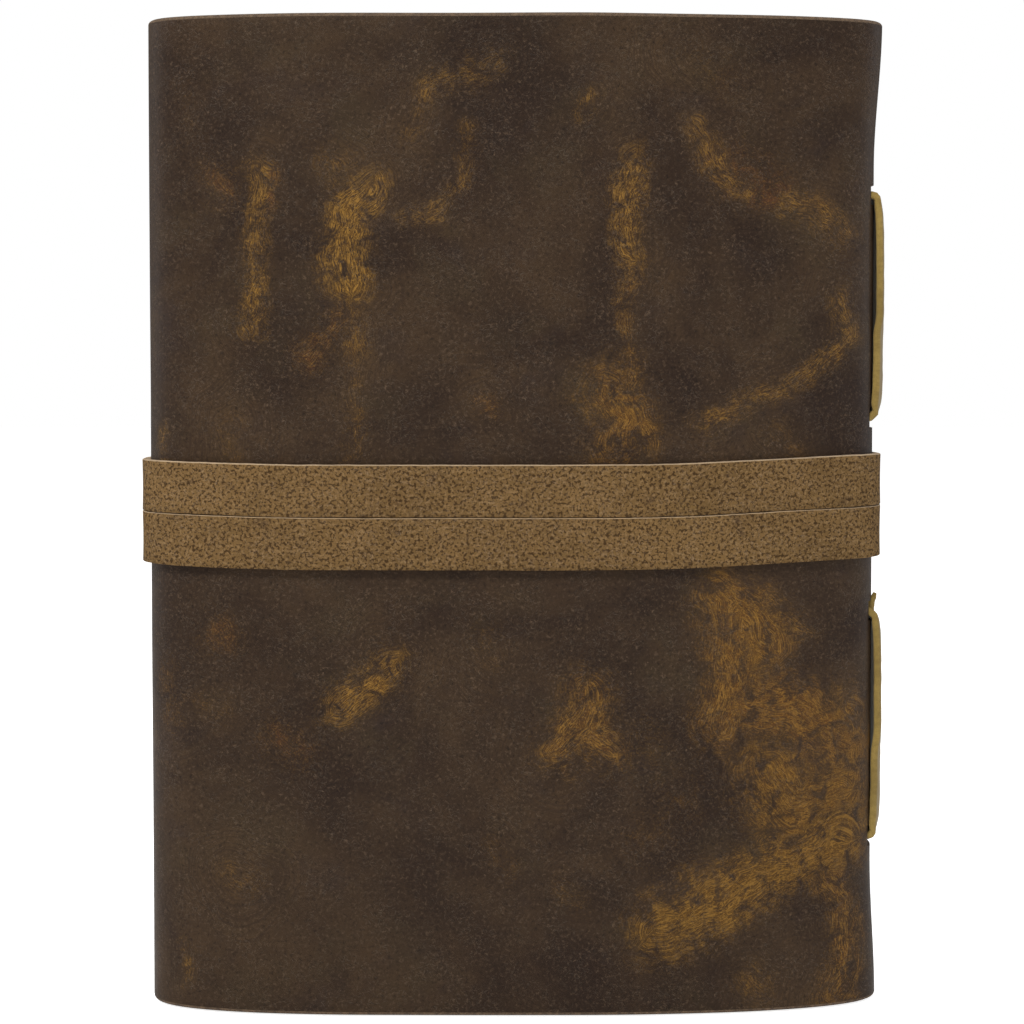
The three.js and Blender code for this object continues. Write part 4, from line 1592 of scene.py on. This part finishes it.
class JOURNAL_OT_stage(bpy.types.Operator):
    """Sets up the pale floor, the soft light and the camera"""

    bl_idname = "journal.stage"
    bl_label = "Stage"

    def execute(self, context):
        own = context.scene.journal_stage
        self.make_floor(own)
        self.make_world()
        middle = (0, 0, HEIGHT / 2)
        area_light("key", (-0.35, -0.80, 1.00), middle, (0.5, 0.35), 11.5, (1.0, 0.985, 0.96))
        area_light("fill", (0.75, -0.85, 0.35), middle, (0.7, 0.9), 1.6, (0.97, 0.985, 1.0))
        area_light("left_rim", (-0.8, 0.15, 0.25), middle, (0.3, 0.8), 2.0, (0.90, 0.94, 1.0))
        area_light("right_rim", (0.8, 0.2, 0.3), middle, (0.3, 0.8), 2.0, (0.90, 0.94, 1.0))
        area_light("top", (0.0, 0.2, 1.2), middle, (0.8, 0.8), 4.0)
        self.make_camera(own)
        return {"FINISHED"}

    @staticmethod
    def make_floor(own):
        bpy.ops.object.select_all(action="DESELECT")
        bpy.ops.mesh.primitive_plane_add(size=6.0, location=(0, 0, -0.0002))
        floor = bpy.context.object
        floor.name = "floor"
        material, tree, shader = new_material("floor_white", 0.8, 0.2)
        where = object_vector(tree)
        cloud = noise_node(tree, -600, 0, where, 0.004, 2.0, 0.5)
        colour = mix_colour(tree, -200, 0, cloud, own.floor, [c * 0.985 for c in own.floor])
        tree.links.new(colour, shader.inputs["Base Color"])
        shader.inputs["Emission Color"].default_value = (1.0, 1.0, 1.0, 1.0)
        ray = add(tree, "ShaderNodeLightPath", -600, -300)
        glow = math_node(tree, "MULTIPLY_ADD", -300, -300, ray.outputs["Is Camera Ray"], 0.60, 0.20)
        tree.links.new(glow, shader.inputs["Emission Strength"])
        floor.data.materials.append(material)

    @staticmethod
    def make_world():
        world = bpy.data.worlds.new("studio")
        world.use_nodes = True
        tree = world.node_tree
        lit = tree.nodes["Background"]
        lit.inputs["Color"].default_value = (1.0, 1.0, 1.0, 1.0)
        lit.inputs["Strength"].default_value = 0.30
        seen = add(tree, "ShaderNodeBackground", 0, -200, Color=(1.0, 1.0, 1.0, 1.0), Strength=1.0)
        ray = add(tree, "ShaderNodeLightPath", 0, 300)
        mix = add(tree, "ShaderNodeMixShader", 250, 0)
        tree.links.new(ray.outputs["Is Camera Ray"], mix.inputs[0])
        tree.links.new(lit.outputs[0], mix.inputs[1])
        tree.links.new(seen.outputs[0], mix.inputs[2])
        tree.links.new(mix.outputs[0], tree.nodes["World Output"].inputs["Surface"])
        bpy.context.scene.world = world
        bpy.context.scene.view_settings.view_transform = "Standard"

    @staticmethod
    def make_camera(own):
        data = bpy.data.cameras.new("camera")
        data.lens = own.lens
        data.sensor_width = 36.0
        camera = bpy.data.objects.new("camera", data)
        bpy.context.scene.collection.objects.link(camera)
        camera.location = (CENTRE_X + own.aside, back_low.y - own.distance, own.height)
        camera.rotation_euler = (math.radians(90) - own.tilt, 0, 0)
        data.shift_y = own.shift
        bpy.context.scene.camera = camera


class JOURNAL_PT_panel(bpy.types.Panel):
    """Journal sizes, colours and steps"""

    bl_label = "Journal"
    bl_idname = "JOURNAL_PT_panel"
    bl_space_type = "VIEW_3D"
    bl_region_type = "UI"
    bl_category = "Journal"

    def draw(self, context):
        for settings in (context.scene.journal_sizes, context.scene.journal_colours,
                         context.scene.journal_stage):
            box = self.layout.box()
            for name in settings.bl_rna.properties.keys():
                if name not in ("rna_type", "name"):
                    box.prop(settings, name)
        for operator in OPERATORS:
            self.layout.operator(operator.bl_idname)


OPERATORS = (
    JOURNAL_OT_stage,
    JOURNAL_OT_back_cover,
    JOURNAL_OT_front_cover,
    JOURNAL_OT_fore_edge_wrap,
    JOURNAL_OT_front_flap,
    JOURNAL_OT_strap,
    JOURNAL_OT_anchor_stitches,
    JOURNAL_OT_lacing,
    JOURNAL_OT_signatures,
    JOURNAL_OT_binding,
)
GROUPS = {"journal_sizes": JournalSizes, "journal_colours": JournalColours, "journal_stage": JournalStage}


def register():
    for settings in GROUPS.values():
        bpy.utils.register_class(settings)
    for name, settings in GROUPS.items():
        setattr(bpy.types.Scene, name, bpy.props.PointerProperty(type=settings))
    for operator in OPERATORS:
        bpy.utils.register_class(operator)
    bpy.utils.register_class(JOURNAL_PT_panel)


def unregister():
    bpy.utils.unregister_class(JOURNAL_PT_panel)
    for operator in reversed(OPERATORS):
        bpy.utils.unregister_class(operator)
    for name, settings in GROUPS.items():
        delattr(bpy.types.Scene, name)
        bpy.utils.unregister_class(settings)


def main():
    """Builds the journal on its stage."""
    register()
    bpy.ops.journal.stage()
    bpy.ops.journal.back_cover()
    bpy.ops.journal.front_cover()
    bpy.ops.journal.fore_edge_wrap()
    bpy.ops.journal.front_flap()
    bpy.ops.journal.strap()
    bpy.ops.journal.anchor_stitches()
    bpy.ops.journal.lacing()
    bpy.ops.journal.signatures()
    bpy.ops.journal.binding()


if __name__ == "__main__":
    main()
